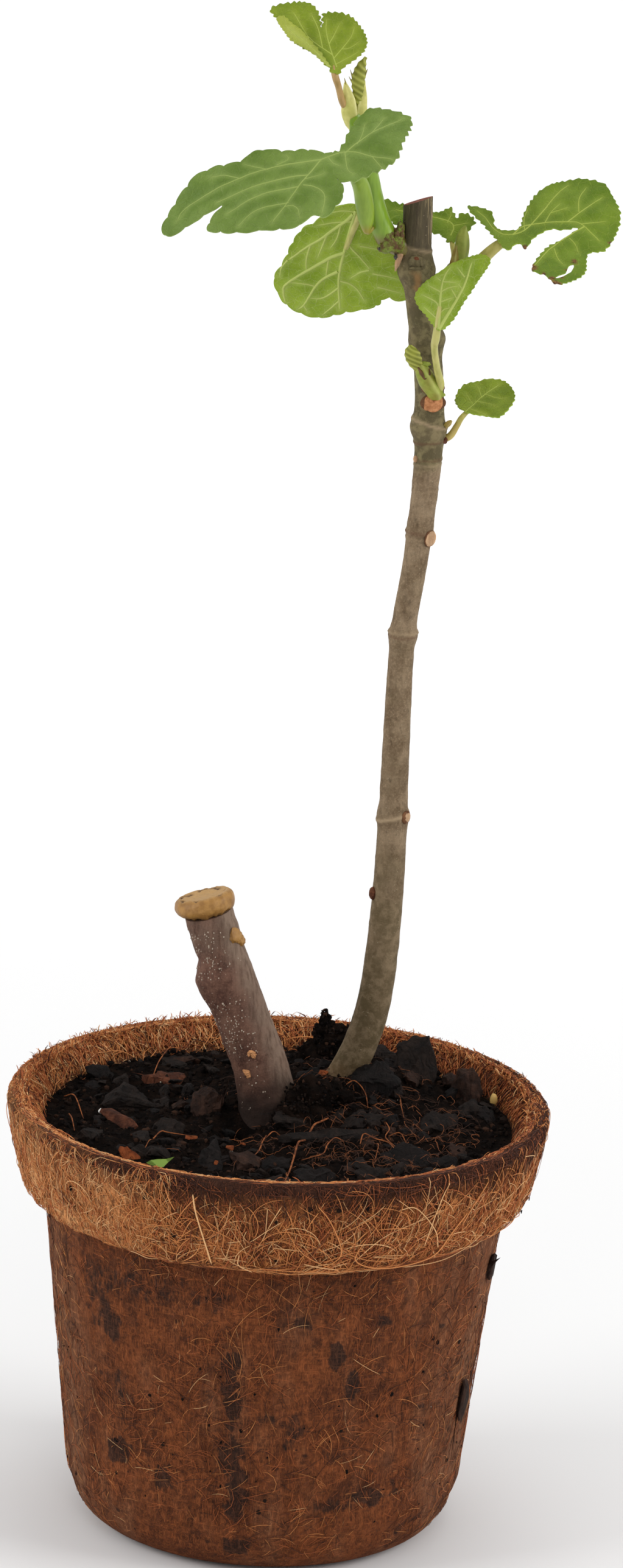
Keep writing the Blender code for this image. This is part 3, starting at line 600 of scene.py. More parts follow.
def scattered(name, places, sizes, deal, finishes, slot, *nodes, seed=3, turn=None):
    """Small angular grains joined in one piece: a twenty-sided ball, each pulled about."""
    rng = np.random.default_rng(seed)
    ball = bmesh.new()
    bmesh.ops.create_icosphere(ball, subdivisions=1, radius=1)
    shape = np.array([v.co for v in ball.verts])
    faces = [[v.index for v in f.verts] for f in ball.faces]
    ball.free()
    count = len(places)
    grains = shape[None] * (1 + rng.uniform(-0.3, 0.3, (count, len(shape), 1))) * sizes[:, None, :]
    turn = rng.uniform(0, TURN, count) if turn is None else turn
    cos, sin = np.cos(turn)[:, None], np.sin(turn)[:, None]
    x = grains[..., 0] * cos - grains[..., 1] * sin
    y = grains[..., 0] * sin + grains[..., 1] * cos
    grains = np.stack([x, y, grains[..., 2]], axis=2) + places[:, None, :]
    repeated(name, grains, faces, deal, finishes, slot, *nodes, smooth=20)


# ---------------------------------------------------------------- pot and collar
def wall_radius(z):
    """Outer radius of the pot's wall: a straight cone that flares under the rim."""
    z = np.asarray(z, float)
    flare = np.maximum(z - FLARE_START, 0) / (POT_HEIGHT - FLARE_START)
    return BASE_RADIUS + (FLARE_RADIUS - BASE_RADIUS) * z / FLARE_START + 4 * flare ** 2


def on_wall(heights, out=0):
    return [(float(wall_radius(z)) + out, float(z)) for z in heights]


def turned(profile, steps):
    """A shape spun round Z from (radius, height) points."""
    bm = bmesh.new()
    points = [bm.verts.new((r, 0, z)) for r, z in profile]
    edges = [bm.edges.new(pair) for pair in zip(points, points[1:] + points[:1])]
    bmesh.ops.spin(bm, geom=points + edges, cent=(0, 0, 0), axis=(0, 0, 1), angle=TURN,
                   steps=steps, use_merge=True)
    bmesh.ops.remove_doubles(bm, verts=bm.verts, dist=0.002)
    bmesh.ops.recalc_face_normals(bm, faces=bm.faces)
    return bm


def new_marks(bm, *names):
    return [bm.verts.layers.float.new(name) for name in names]


def push_out(vert, push, radius):
    vert.co.x += push * vert.co.x / radius
    vert.co.y += push * vert.co.y / radius


def fine(points, spacing):
    """The same bent line with points at least this close together."""
    made = []
    for (r0, z0), (r1, z1) in zip(points, points[1:]):
        parts = max(1, math.ceil(math.hypot(r1 - r0, z1 - z0) / spacing))
        made += [(r0 + (r1 - r0) * k / parts, z0 + (z1 - z0) * k / parts) for k in range(parts)]
    return made + [points[-1]]


LEAN = math.atan2(FLARE_RADIUS - BASE_RADIUS, FLARE_START)


def corner(depth, steps=10):
    """The rounded foot of the wall, this far inside its skin."""
    inner = CORNER_RADIUS - depth
    angles = [-LEAN + (-math.pi / 2 + LEAN) * i / steps for i in range(steps + 1)]
    return [(BASE_RADIUS - CORNER_RADIUS + inner * math.cos(a),
             CORNER_RADIUS + inner * math.sin(a)) for a in angles]


OUTSIDE = on_wall(np.linspace(119.5, 14, 60)) + corner(0)
LINING = [(72.4, 122.4), (71.3, 121.4), (70.1, 120.2), (68.4, 117.9), (66.8, 115.4), (65.4, 113.4)]
COLLAR_SKIN = [(74.3, 122.3), (75.1, 121.2), (74.9, 119), (74.2, 114.5), (73, 109),
               (71.6, 102), (70.7, 96), (70.2, 93.2), (69, 91.8), (67, COLLAR_FOOT)]
RIM = [(70.6, 120.2), (71.6, 121.6), (72.6, 122.4), (73.8, 122.4), (74.8, 121.4), (75.1, 119.6)]


def collar_radius(z):
    skin = np.array(COLLAR_SKIN[::-1])
    return np.interp(z, skin[:, 1], skin[:, 0])


def rough_place(at):
    """How far the pot's skin stands out of its turned shape here."""
    return bumps(at, (0.55, 0.035), (0.28, 0.13), (0.13, 0.5), (0.07, 1.3))


STAINS = [  # angle in degrees, height, width, how tall, how dark
    (-99, 58, 3, 12, 0.9), (-98, 36, 4, 12, 0.8), (-97, 22, 3.5, 9, 0.9), (-135, 70, 5, 6, 0.7),
    (-133, 31, 5, 5, 0.8), (-131, 50, 4, 10, 0.5), (-72, 68, 2.4, 5, 0.9), (-67, 58, 2.2, 5, 0.9),
    (-57, 24, 10, 3.4, 0.9), (-125, 84, 20, 8, 0.48), (-105, 84, 12, 5, 0.5), (-82, 78, 4, 2.5, 0.8),
    (-89, 51, 4, 5, 0.5), (-68, 22, 13, 2, 0.6), (-96, 9, 5, 3, 0.8), (-43, 48, 2.2, 1.8, 0.9),
    (-39, 71, 1.6, 1.8, 0.9), (-52, 63, 1.5, 1.5, 0.8), (-60, 77, 2.5, 2.5, 0.7), (-119, 26, 4, 5, 0.7),
    (-82, 45, 5, 6, 0.5), (-84, 42, 30, 34, 0.2), (-66, 38, 14, 9, 0.35), (-140, 78, 8, 14, 0.5),
    (60, 70, 12, 10, 0.6), (100, 40, 8, 14, 0.7), (150, 60, 14, 8, 0.6), (10, 30, 8, 10, 0.5),
    (35, 85, 10, 6, 0.6)]


def stain(at):
    """Damp and mould patches: soft-edged, torn by noise."""
    angle, radius = math.degrees(math.atan2(at.y, at.x)), math.hypot(at.x, at.y)
    dark = 0
    for centre, height, wide, tall, depth in STAINS:
        away = (angle - centre + 180) % 360 - 180
        reach = math.hypot(math.radians(away) * radius / wide, (at.z - height) / tall)
        if reach < 1.8:
            reach += 0.7 * noise.fractal(at * 0.22, 1, 2, 3)
            dark = max(dark, depth * (1 - step(0.55, 1.15, reach)))
    return dark


def side_light_and_tone(at):
    """Painted light on the wall's sides, near the bottom left and right, over random paler patches of fibre.
    """
    angle = math.degrees(math.atan2(at.y, at.x))
    right = step(-52, -12, angle) * (1 - step(30, 60, angle))
    left = 1 - step(-166, -134, angle) if angle < 0 else step(140, 170, angle)
    left *= 1 - 0.6 * step(70, 95, at.z)
    grain = noise.fractal(Vector((at.x * 0.12, at.y * 0.12, at.z * 0.03)), 1, 2, 3)
    return clamp(0.75 * right + 0.8 * left + 0.5 * grain, 0, 0.9)


def build_wall():
    """The wall, whose inner side opens out above the mix to a thin edge."""
    profile = OUTSIDE + fine([OUTSIDE[-1], (0, 0)], 4)[1:] + [(0, WALL)] + corner(WALL, 4)[::-1]
    profile += on_wall((60, 90, 110), -WALL) + fine(LINING[:0:-1], 0.9) + [(72.2, POT_HEIGHT)]
    bm = turned(profile, 256)
    dark, pale = new_marks(bm, "stain", "pale")
    for vert in bm.verts:
        at, radius = vert.co.copy(), math.hypot(vert.co.x, vert.co.y)
        if radius < 1 or at.z < 0.05:
            vert[dark] = 0.25
            continue
        push_out(vert, rough_place(at) * step(0, 6, at.z), radius)
        if radius < wall_radius(at.z) - 0.6 * WALL and at.z > 20:
            front = step(-0.3, 0.3, -at.y / radius) * step(114, 118, at.z)
            vert[dark], vert[pale] = 0.5 * front, 0.95 - 0.9 * front
        else:
            # Outside, pale is painted light on the sides with random paler patches; stain is the damp and
            # mould.
            vert[dark], vert[pale] = stain(at), side_light_and_tone(at)
    piece("coir_wall", as_mesh(bm), [COIR], "coir", "coir_pot")


def collar_foot(angle):
    """Height of the collar's frayed lower edge: higher at the sides than at the front."""
    across, back = math.cos(angle), math.sin(angle)
    wander = noise.noise(Vector((across, back, 0)) * 2.5)
    fray = noise.noise(Vector((across, back, 0.3)) * 14)
    return 94.8 + (2.1 + 0.45 * across) * across ** 2 + 0.5 * wander + 0.5 * fray


def lift_to_foot(paths):
    """Move what lies on the collar's skin with the wandering of its lower edge."""
    low = COLLAR_FOOT - np.vectorize(collar_foot)(np.arctan2(paths[..., 1], paths[..., 0]))
    paths[..., 2] -= low * (1 - np.clip((paths[..., 2] - 91) / 15, 0, 1))
    return paths


def build_collar():
    """The top of the fibre mat, folded out and down over the wall."""
    under = on_wall((COLLAR_FOOT, 94, 100, 107, 113, 118), 0.3)
    crest = [(71.6, 120.8), (72.2, 121.9), (73.2, 122.5)]
    bm = turned(fine(COLLAR_SKIN, 0.7) + fine(under, 3) + crest, 320)
    lip, dark, pale = new_marks(bm, "lip", "stain", "pale")
    for vert in bm.verts:
        at = vert.co.copy()
        radius, angle = math.hypot(at.x, at.y), math.atan2(at.y, at.x)
        vert.co.z -= (COLLAR_FOOT - collar_foot(angle)) * (1 - step(91, 106, at.z))
        if not (radius < wall_radius(at.z) + 0.8 and at.z < 119):
            push_out(vert, 1.1 * rough_place(at) + 0.25 * noise.noise(at * 0.8)
                     + 0.5 * hump(at.z, 97, 5) * step(-0.2, 0.4, noise.noise(at * 0.05)), radius)
        across = math.cos(angle)
        facing = step(-0.35, 0.25, -math.sin(angle)) * (1 - 0.6 * step(0.55, 0.95, -across))
        facing = max(facing, 0.9 * step(0.6, 0.85, across))
        height = at.z + 1.6 * noise.noise(at * 0.25)
        band = 0.55 * step(112.5, 117, height) + 0.45 * step(118.4, 119.8, height)
        vert[lip] = (0.2 + 0.8 * facing) * band
        degrees = math.degrees(angle)
        soot = max(hump(degrees, -104, 10), 0.8 * hump(degrees, -66, 20)) * step(113.5, 118, height)
        patch = step(0.22, 0.42, noise.noise(at * 0.09 + Vector((5, 0, 0))))
        vert[dark] = clamp(max(soot, 0.45 * patch), 0, 0.9)
        # pale is painted light: strong on the collar's left side, less on its right, with random tone, kept
        # off the lip.
        vert[pale] = (0.95 * step(0.4, 0.75, -across) + 0.4 * step(0.5, 0.9, across)
                      + 0.4 * noise.noise(at * 0.2)) * (1 - 0.7 * vert[lip])
    piece("coir_collar", as_mesh(bm), [COLLAR_COIR], "collar_coir", "pot_collar")


# ---------------------------------------------------------------- fibres of the pot
TANGLED, UPRIGHT, ROUND = ("uniform", 0, 180), ("normal", 90, 22), ("normal", 0, 25)


def surface_lines(profile, rng, count, heights, angles, lengths, heading, curl, lift, arch, points):
    """Fibres laid on a turned surface, as (fibres, points, 3).

    profile is (radius, height) from the top down. Each fibre starts at a height and an angle,
    sets off at a heading (0 is round the pot, 90 is up), and bends by its curl.
    """
    skin = np.array(profile)
    run = np.concatenate([[0], np.cumsum(np.linalg.norm(np.diff(skin, axis=0), axis=1))])
    order = np.argsort(skin[:, 1])
    s = np.interp(rng.uniform(*heights, count), skin[order, 1], run[order])
    angle = np.radians(rng.uniform(*angles, count))
    kind, first, second = heading
    way = np.radians(getattr(rng, kind)(first, second, count))
    bend = np.radians(rng.normal(0, curl, count))
    stride = rng.uniform(*lengths, count) * np.exp(rng.normal(0, 0.25, count)) / (points - 1)
    up, bow = rng.uniform(*lift, count), rng.uniform(*arch, count)
    made = np.zeros((count, points, 3))
    for k in range(points):
        r, z = np.interp(s, run, skin[:, 0]), np.interp(s, run, skin[:, 1])
        out = r + up + bow * math.sin(math.pi * k / (points - 1))
        made[:, k] = np.stack([out * np.cos(angle), out * np.sin(angle), z], axis=1)
        angle = angle + np.cos(way) * stride / np.maximum(r, 5)
        s = np.clip(s - np.sin(way) * stride, 0, run[-1])
        way = way + bend * stride
    return made


def deal_out(rng, count, shares):
    return rng.choice(len(shares), size=count, p=np.array(shares) / sum(shares))


def dealt_strands(name, rng, paths, thin, shares, slot="collar_coir"):
    """Strands whose radius lies between two values, in colours dealt out from dark to pale."""
    radii = rng.uniform(*thin, len(paths))
    deal = shares if isinstance(shares, np.ndarray) else deal_out(rng, len(paths), shares)
    strands(name, paths, radii, deal, FIBRES, slot)


def build_fibres():
    """The wall's pressed fibres and the collar's brushed ones, dark under the lip in front and paler on the
    left, partly as painted light.
    """
    rng = np.random.default_rng(11)
    paths = surface_lines(OUTSIDE, rng, 8200, (4, 96), ALL_ROUND, (3, 11), TANGLED, 7,
                          (-0.03, 0.1), (0, 0.16), 6)
    dealt_strands("wall_fibres", rng, paths, (0.035, 0.075), (26, 28, 32, 12, 2), "coir")
    for name, count, lengths, heading, curl in (("collar_fibres", 5200, (3, 9), TANGLED, 9),
                                                ("collar_nap", 8200, (2.5, 8.5), UPRIGHT, 6)):
        paths = lift_to_foot(surface_lines(COLLAR_SKIN, rng, count, (91.5, 119), ALL_ROUND, lengths,
                                           heading, curl, (-0.05, 0.33), (0, 0.37), 6))
        x, y, z = paths[:, 3].T
        height = z + rng.normal(0, 2.2, count)
        front = -y / 72 + rng.normal(0, 0.2, count) > 0
        tufts = np.array([noise.noise(Vector(p) * 0.16) for p in paths[:, 3].tolist()])
        gold, brown, dark = (deal_out(rng, count, shares) for shares in (
            (6, 14, 36, 34, 10), (20, 34, 34, 11, 1), (44, 38, 16, 2, 0)))
        # On the left the fibres are dealt paler: the straw fibres there, and painted light from the left.
        left = np.abs(np.degrees(np.arctan2(y, x))) > 112
        deal = np.where(tufts + 0.35 * left - 0.012 * (height - 109) > 0, gold, brown)
        deal = np.where(left, deal_out(rng, count, (1, 4, 20, 46, 29)), deal)
        deal = np.where(front & ~left & (height > 116), dark, deal)
        dealt_strands(name, rng, paths, (0.045, 0.1), deal)


def build_rim():
    """The rim's roll of fibre, the golden lining above the mix, and the hairs that stand up."""
    rng = np.random.default_rng(5)
    front = surface_lines(RIM, rng, 2200, (119.8, 122.4), (-185, 5), (4, 15), ROUND, 5,
                          (-0.1, 0.2), (0, 0.25), 7)
    back = surface_lines(RIM, rng, 3000, (119.8, 122.4), (-5, 185), (2.5, 8), TANGLED, 9,
                         (-0.1, 0.5), (0, 0.6), 7)
    paths = np.concatenate([front, back])
    count = len(paths)
    x, y = paths[:, 3, 0], paths[:, 3, 1]
    facing = -y / 72 - 0.5 * (x < -52) + 0.6 * (x > 48)
    dark, gold = (deal_out(rng, count, shares) for shares in ((48, 38, 14, 0, 0), (8, 22, 40, 25, 5)))
    radii = rng.uniform(0.06, 0.16, count)
    deal = np.where(facing + rng.normal(0, 0.2, count) > 0.1, dark, gold)
    strands("rim_roll", paths, radii, deal, FIBRES, "collar_coir")
    count = 8200
    paths = surface_lines(LINING, rng, count, (114, 122), ALL_ROUND, (2.5, 9), UPRIGHT, 7,
                          (-0.9, 0.2), (-0.9, 0.2), 6)
    red, gold = (deal_out(rng, count, shares) for shares in ((8, 28, 42, 18, 4), (1, 5, 28, 44, 22)))
    radii = rng.uniform(0.07, 0.18, count)
    deal = np.where(paths[:, 3, 0] / 66 + rng.normal(0, 0.2, count) > 0.35, red, gold)
    strands("lining_fibres", paths, radii, deal, FIBRES, "collar_coir")
    paths = surface_lines(LINING, rng, 420, (113.8, 119.5), (60, 215), (6, 20), TANGLED, 8,
                          (-2.2, -0.3), (-1.2, 0.2), 9)
    dealt_strands("lining_tangle", rng, paths, (0.08, 0.15), (4, 16, 38, 34, 8))
    build_rim_hairs(rng)


def build_rim_hairs(rng):
    """Hairs that stand up from the rim, nearly all of them behind."""
    count = 6400
    angle = rng.uniform(-math.pi, math.pi, count)
    angle = angle[rng.uniform(0, 1, count) < np.where(np.sin(angle) > -0.25, 1, 0.04)]
    count, points = len(angle), 6
    radius, tall = rng.uniform(69.6, 74.2, count), 3 + 2 * np.clip(np.cos(angle - 2.2), 0, 1)
    rise = 1.4 + tall * rng.uniform(0, 1, count) ** 2
    sway, out = rng.normal(0, 1.6, (2, count))
    paths = np.zeros((count, points, 3))
    for k in range(points):
        t = k / (points - 1)
        r, a = radius + 0.5 * out * t * t, angle + sway * t * t / 70
        paths[:, k] = np.stack([r * np.cos(a), r * np.sin(a), 120.6 + rise * (t - 0.35 * t * t)], axis=1)
    dealt_strands("rim_hairs", rng, paths, (0.07, 0.17), (3, 12, 38, 36, 11))


LOOSE = [  # (angle in degrees, height) of the longest loose strands, then their radius
    ([(-65, 114), (-71, 103), (-71, 99), (-65, 96.6), (-56, 97), (-51, 99), (-47, 105), (-40, 114)], 0.26),
    ([(-63, 114), (-59, 114), (-53, 106), (-51, 100)], 0.22),
    ([(-81, 117), (-78, 112), (-75, 103), (-77, 99), (-83, 96)], 0.22),
    ([(-107, 118), (-106, 111), (-103, 97)], 0.28), ([(-88, 111), (-83, 102), (-74, 96)], 0.18),
    ([(-83, 99), (-79, 98), (-75, 97)], 0.2), ([(-113, 118), (-112, 115), (-111, 112)], 0.2),
    ([(-97, 101), (-97, 98), (-94, 96)], 0.18), ([(-66, 102), (-63, 112), (-62, 117)], 0.2),
    ([(-51, 120), (-53, 115), (-55, 101)], 0.2), ([(-39, 117), (-43, 111), (-45, 105)], 0.22),
    ([(-72, 99), (-66, 106), (-60, 109), (-50, 112)], 0.16), ([(-90, 97), (-75, 96.7), (-60, 97)], 0.16),
    ([(-60, 96), (-50, 96), (-42, 98), (-36, 101)], 0.16),
    ([(-76, 104), (-70, 100), (-62, 99), (-57, 103)], 0.15)]


def build_loose():
    """Long pale strands that have worked out of the collar, and fine ones on the wall."""
    rng = np.random.default_rng(21)
    points, rows = 26, []
    for line, _ in LOOSE:
        path = smooth_through([(math.radians(a), z, 0) for a, z in line], 12)
        made = []
        for k in range(points):
            angle, z, _ = path[round(k * (len(path) - 1) / (points - 1))]
            r = float(collar_radius(z)) + 0.45 + 0.5 * math.sin(math.pi * k / (points - 1))
            made.append((r * math.cos(angle), r * math.sin(angle), z))
        rows.append(made)
    strands("long_strands", np.array(rows), 0.85 * np.array([radius for _, radius in LOOSE]),
            np.arange(len(rows)) % 2 + 3, FIBRES, "collar_coir")
    paths = np.concatenate([
        surface_lines(COLLAR_SKIN, rng, *given, 5, (0.1, 0.5), (0.1, 0.8), 12)
        for given in (
            (240, (92.5, 112), (-78, -18), (5, 16), TANGLED),
            (420, (92, 108), (-120, -20), (4, 12), UPRIGHT),
            (90, (92.5, 110), (-118, -75), (5, 14), TANGLED),
            (70, (92, 93.5), (-125, -30), (8, 22), ROUND),
            (120, (92, 112), (-180, -118), (4, 12), UPRIGHT),
            (200, (92, 117), (-18, 180), (5, 15), TANGLED))])
    dealt_strands("loose_strands", rng, lift_to_foot(paths), (0.07, 0.14), (0, 5, 25, 50, 20))
    wisps = surface_lines(OUTSIDE, rng, 60, (60, 92), (-115, -75), (4, 14), UPRIGHT, 3,
                          (0.02, 0.1), (0.02, 0.2), 10)
    curls = surface_lines(OUTSIDE, rng, 150, (8, 90), ALL_ROUND, (3, 10), TANGLED, 5,
                          (0.02, 0.15), (0.02, 0.3), 10)
    paths = np.concatenate([wisps, curls])
    dealt_strands("wall_strands", rng, paths, (0.04, 0.07), (12, 32, 36, 16, 4), "coir")


# ---------------------------------------------------------------- the mix
MOUND_CENTRE, MOUND_REACH, SOIL_MOUND = (18, 24), 30, 8
SEATS = [(-3.2, 4, 118, 8.2), (18.6, 22, 123.3, 4.8)]     # x, y, height and radius at each stem
HOLLOWS = [(-9.5, -8, 7.5, 6.8), (9, -1, 6, -3)]      # x, y, reach and depth


def soil_height(x, y):
    reach = math.hypot(x - MOUND_CENTRE[0], y - MOUND_CENTRE[1]) / MOUND_REACH
    height = SOIL_EDGE + SOIL_MOUND * math.exp(-reach ** 2)
    height += 1.3 * noise.noise(Vector((x, y, 0)) * 0.11)
    for seat_x, seat_y, seat_z, radius in SEATS:
        away = math.hypot(x - seat_x, y - seat_y)
        height += (seat_z - height) * (1 - step(radius + 5.5, radius + 14, away))
    for low_x, low_y, reach, depth in HOLLOWS:
        height -= depth * hump(math.hypot(x - low_x, y - low_y), 0, reach)
    return height


def from_stems(x, y):
    """How far a place is from the nearest stem's bark."""
    return min(math.hypot(x - seat[0], y - seat[1]) - seat[3] for seat in SEATS)


def crumbly(x, y):
    """The mix's own surface: clods, cracks and grit on top of its mounded shape."""
    at = Vector((x, y, 0))
    rough = 1.3 * (0.35 - abs(noise.noise(at * 0.22 + Vector((9, 0, 0)))))
    rough += bumps(at, (1, 0.16), (0.55, 0.55), (0.28, 1.3), (0.14, 2.9))
    return soil_height(x, y) + rough * step(-1, 7, from_stems(x, y))


def build_ground():
    edge = on_wall([SOIL_EDGE], -WALL - 0.1)[0][0]
    profile = [(edge * k / 120, SOIL_EDGE) for k in range(121)]
    bm = turned(profile + [(edge - 0.4, SOIL_FLOOR), (0, SOIL_FLOOR)], 300)
    for vert in bm.verts:
        x, y, z = vert.co
        if z > SOIL_EDGE - 1:
            rim = step(edge - 7, edge, math.hypot(x, y))
            vert.co.z = (1 - rim) * crumbly(x, y) + rim * (SOIL_EDGE + 0.8 * noise.noise(vert.co * 0.4))
    return as_mesh(bm)


def chip_shape(rng, length, width, thick, corners=13, rough=0.13):
    """A broken piece of bark: a hull of random corners, edges worn and faces roughened."""
    bm = bmesh.new()
    for _ in range(corners):
        spot = Vector((rng.uniform(-1, 1), rng.uniform(-1, 1), rng.uniform(-1, 1)))
        spot /= max(abs(c) for c in spot) ** 0.6
        bm.verts.new((spot.x * length / 2, spot.y * width / 2, spot.z * thick / 2))
    made = bmesh.ops.convex_hull(bm, input=bm.verts)
    loose = [g for g in made["geom_interior"] if isinstance(g, bmesh.types.BMVert)]
    bmesh.ops.delete(bm, geom=loose, context='VERTS')
    bmesh.ops.dissolve_limit(bm, angle_limit=0.12, verts=bm.verts, edges=bm.edges)
    bmesh.ops.bevel(bm, geom=bm.edges[:], offset=0.09 * min(width, thick), affect='EDGES', segments=1,
                    profile=0.5, material=-1)
    bmesh.ops.triangulate(bm, faces=bm.faces)
    for longest in ((2.4, 1.6) if length > 5 else (1.6,)):
        bmesh.ops.subdivide_edges(bm, edges=[e for e in bm.edges if e.calc_length() > longest], cuts=1)
        bmesh.ops.triangulate(bm, faces=bm.faces)
    seed = Vector((rng.uniform(0, 90), 0, 0))
    for vert in bm.verts:
        push = noise.fractal(vert.co * 0.4 + seed, 1, 2, 3) + 0.5 * noise.noise(vert.co * 1.4 + seed)
        vert.co += vert.co.normalized() * push * rough * min(length, 8)
    bmesh.ops.recalc_face_normals(bm, faces=bm.faces)
    return bm


def lay(bm, x, y, z, yaw, tilt, roll, finish=0):
    turn = Matrix.Rotation(yaw, 4, 'Z') @ Matrix.Rotation(tilt, 4, 'X') @ Matrix.Rotation(roll, 4, 'Y')
    bm.transform(Matrix.Translation(Vector((x, y, z))) @ turn)
    return as_mesh(bm, finish)


PLACED = [  # x, y, lift, length, width, thick, yaw, tilt, roll, finish
    (-43, 11, 1.4, 16, 12, 5.5, 0.2, 0.25, 0.1, 1), (-44, -7, 1.2, 14, 4.2, 1.8, -0.9, 0.5, 0.2, 3),
    (-32, 29, 1, 14, 7, 3.4, -0.4, 0.3, 0.1, 3), (-19, 4, 1.6, 12, 11, 7, 0.3, 0.4, -0.2, 2),
    (39, 33, 5, 14, 15, 4, 0.1, 1.05, 0.1, 1), (26, 13, 1.6, 17, 12, 6, 0.2, 0.35, 0, 0),
    (49, 29, 2, 6, 7, 5, 0.4, 0.5, 0.2, 2), (11, -50, 0.6, 13, 9, 6, 0.3, 0.3, 0, 0),
    (-18, -40, 0.6, 7, 16, 5, 0.1, 0.5, 0.3, 0), (-7, -38, 1, 13, 8, 3.5, 0.5, 0.3, 0.2, 2),
    (14, -17, 1, 30, 7, 4, 0.18, 0.3, 0, 1), (4, -9, 1.2, 14, 7, 4, 0.5, 0.2, 0.3, 1),
    (10, 9, 0.4, 12, 10, 5, 0.2, 0.2, 0, 0), (-30, -14, 0.8, 12, 8, 4, -0.5, 0.3, 0, 1),
    (-52, -20, 0.4, 9, 7, 4, 0.9, 0.2, 0.2, 1), (44, -2, 0.8, 15, 9, 5, 0.3, 0.3, 0.2, 1),
    (36, -28, 0.8, 14, 10, 5, -0.3, 0.4, 0.1, 0), (53, 8, 0.8, 9, 8, 5, 0.3, 0.4, 0.3, 1),
    (26, -44, 0.6, 11, 7, 4, 0.6, 0.3, 0.1, 1), (-30, 48, 0.6, 12, 9, 4, 0.6, 0.3, 0.1, 1),
    (-8, 44, 0.8, 13, 9, 5, 0.1, 0.3, 0.3, 0), (-50, 32, 0.6, 10, 8, 4, 0.7, 0.3, 0.1, 0),
    (30, 50, 1, 12, 8, 5, -0.7, 0.3, 0.2, 1), (-37, -33, 0.5, 12, 8, 4, 0.2, 0.35, 0.1, 1)]
CLODS = [  # centre and size: the peaked clod behind the cane, then those at the stump's foot
    ((14, 39, 120.5), (6.2, 5, 6.4)), ((15.6, 38.6, 126), (4.8, 4.2, 4.8)),
    ((12.4, 39.4, 129), (3, 2.8, 3.8)), ((12.2, 39.6, 132.8), (1.5, 1.6, 3)),
    ((19, 38.2, 128.4), (2.4, 2.4, 3.6)), ((8.8, 39, 122), (4, 3.2, 4.4)),
    ((8.6, -1.5, 121.4), (6.8, 4.6, 6.2)), ((4.2, -6.6, 118.2), (4.8, 3.4, 4.8)),
    ((15.6, 4.5, 121.4), (5.2, 3.8, 4)), ((0.6, -8.4, 114.4), (4, 2.6, 3.6))]


def anywhere(rng, reach):
    """A random place on the mix."""
    angle, away = rng.uniform(0, TURN), reach * math.sqrt(rng.uniform(0, 1))
    return away * math.cos(angle), away * math.sin(angle)


def build_mix():
    rng = random.Random(31)
    made = [build_ground()]
    for x, y, lift, length, width, thick, yaw, tilt, roll, finish in PLACED:
        chip = chip_shape(rng, length, width, thick, corners=16)
        made.append(lay(chip, x, y, soil_height(x, y) + lift, yaw, tilt, roll, 1 + finish))
    while len(made) < 190:
        x, y = anywhere(rng, 61)
        length = rng.uniform(3.5, 10)
        if from_stems(x, y) > 0.5 + length * 0.4 and math.hypot(x, y) + length / 2 < 64.5:
            width, thick = length * rng.uniform(0.45, 0.9), length * rng.uniform(0.2, 0.55)
            finish = 1 + rng.choice((0, 0, 0, 0, 1, 1, 2))
            chip = chip_shape(rng, length, width, thick, corners=11)
            made.append(lay(chip, x, y, crumbly(x, y) - 0.1, rng.uniform(0, TURN), rng.uniform(-0.6, 0.6),
                            rng.uniform(-0.4, 0.4), finish))
    made.append(lump((52.6, 24, 118.8), (4.3, 3.6, 6.6), 0.25, 5, 4, finish=3))
    made += [lump(centre, size, 0.55, i * 3.7, 4) for i, (centre, size) in enumerate(CLODS)]
    piece("bark_mix_bed", joined(made), [GROUND] + CHIPS, "soil", "potting_soil", smooth=32)


def build_grit():
    """Fine grit all over the mix and on its clods."""
    rng = np.random.default_rng(17)
    spots, sizes = [], []
    while len(spots) < 7600:
        x, y = anywhere(rng, 64.6)
        if from_stems(x, y) > -0.4:
            grain = 0.2 + 0.8 * rng.uniform() ** 4
            spots.append((x, y, crumbly(x, y) + rng.uniform(-0.2, 0.5) * grain))
            sizes.append(grain * rng.uniform(0.6, 1.4, 3))
    bulk = np.array([size[0] * size[2] for _, size in CLODS])
    while len(spots) < 9800:
        way = Vector(rng.normal(0, 1, 3)).normalized() * rng.uniform(0.85, 1.25)
        centre, size = CLODS[rng.choice(len(CLODS), p=bulk / sum(bulk))]
        spots.append([c + s * w for c, s, w in zip(centre, size, way)])
        sizes.append(rng.uniform(0.15, 0.6, 3))
    deal = deal_out(rng, len(spots), (56, 34, 9, 0.4))
    scattered("grit", np.array(spots), np.array(sizes), deal, GRIT, "soil", "potting_soil")


def build_crumbs():
    """Flat dark crumbs of mix stuck to the wall and the collar."""
    rng = np.random.default_rng(23)
    count = 420
    angle = rng.uniform(-math.pi, math.pi, count)
    low = rng.uniform(0, 1, count) < 0.8
    height = np.where(low, rng.uniform(15, 90, count), rng.uniform(98, 117, count))
    radius = np.where(low, wall_radius(height) + 0.05, collar_radius(height) + 0.25)
    tall = 0.16 + 0.75 * rng.uniform(0, 1, count) ** 3
    sizes = np.column_stack([np.full(count, 0.16), tall * rng.uniform(0.5, 1.2, count), tall])
    places = np.column_stack([radius * np.cos(angle), radius * np.sin(angle), height])
    scattered("wall_crumbs", places, sizes, deal_out(rng, count, (62, 34, 2, 2)), GRIT, "coir", turn=angle)


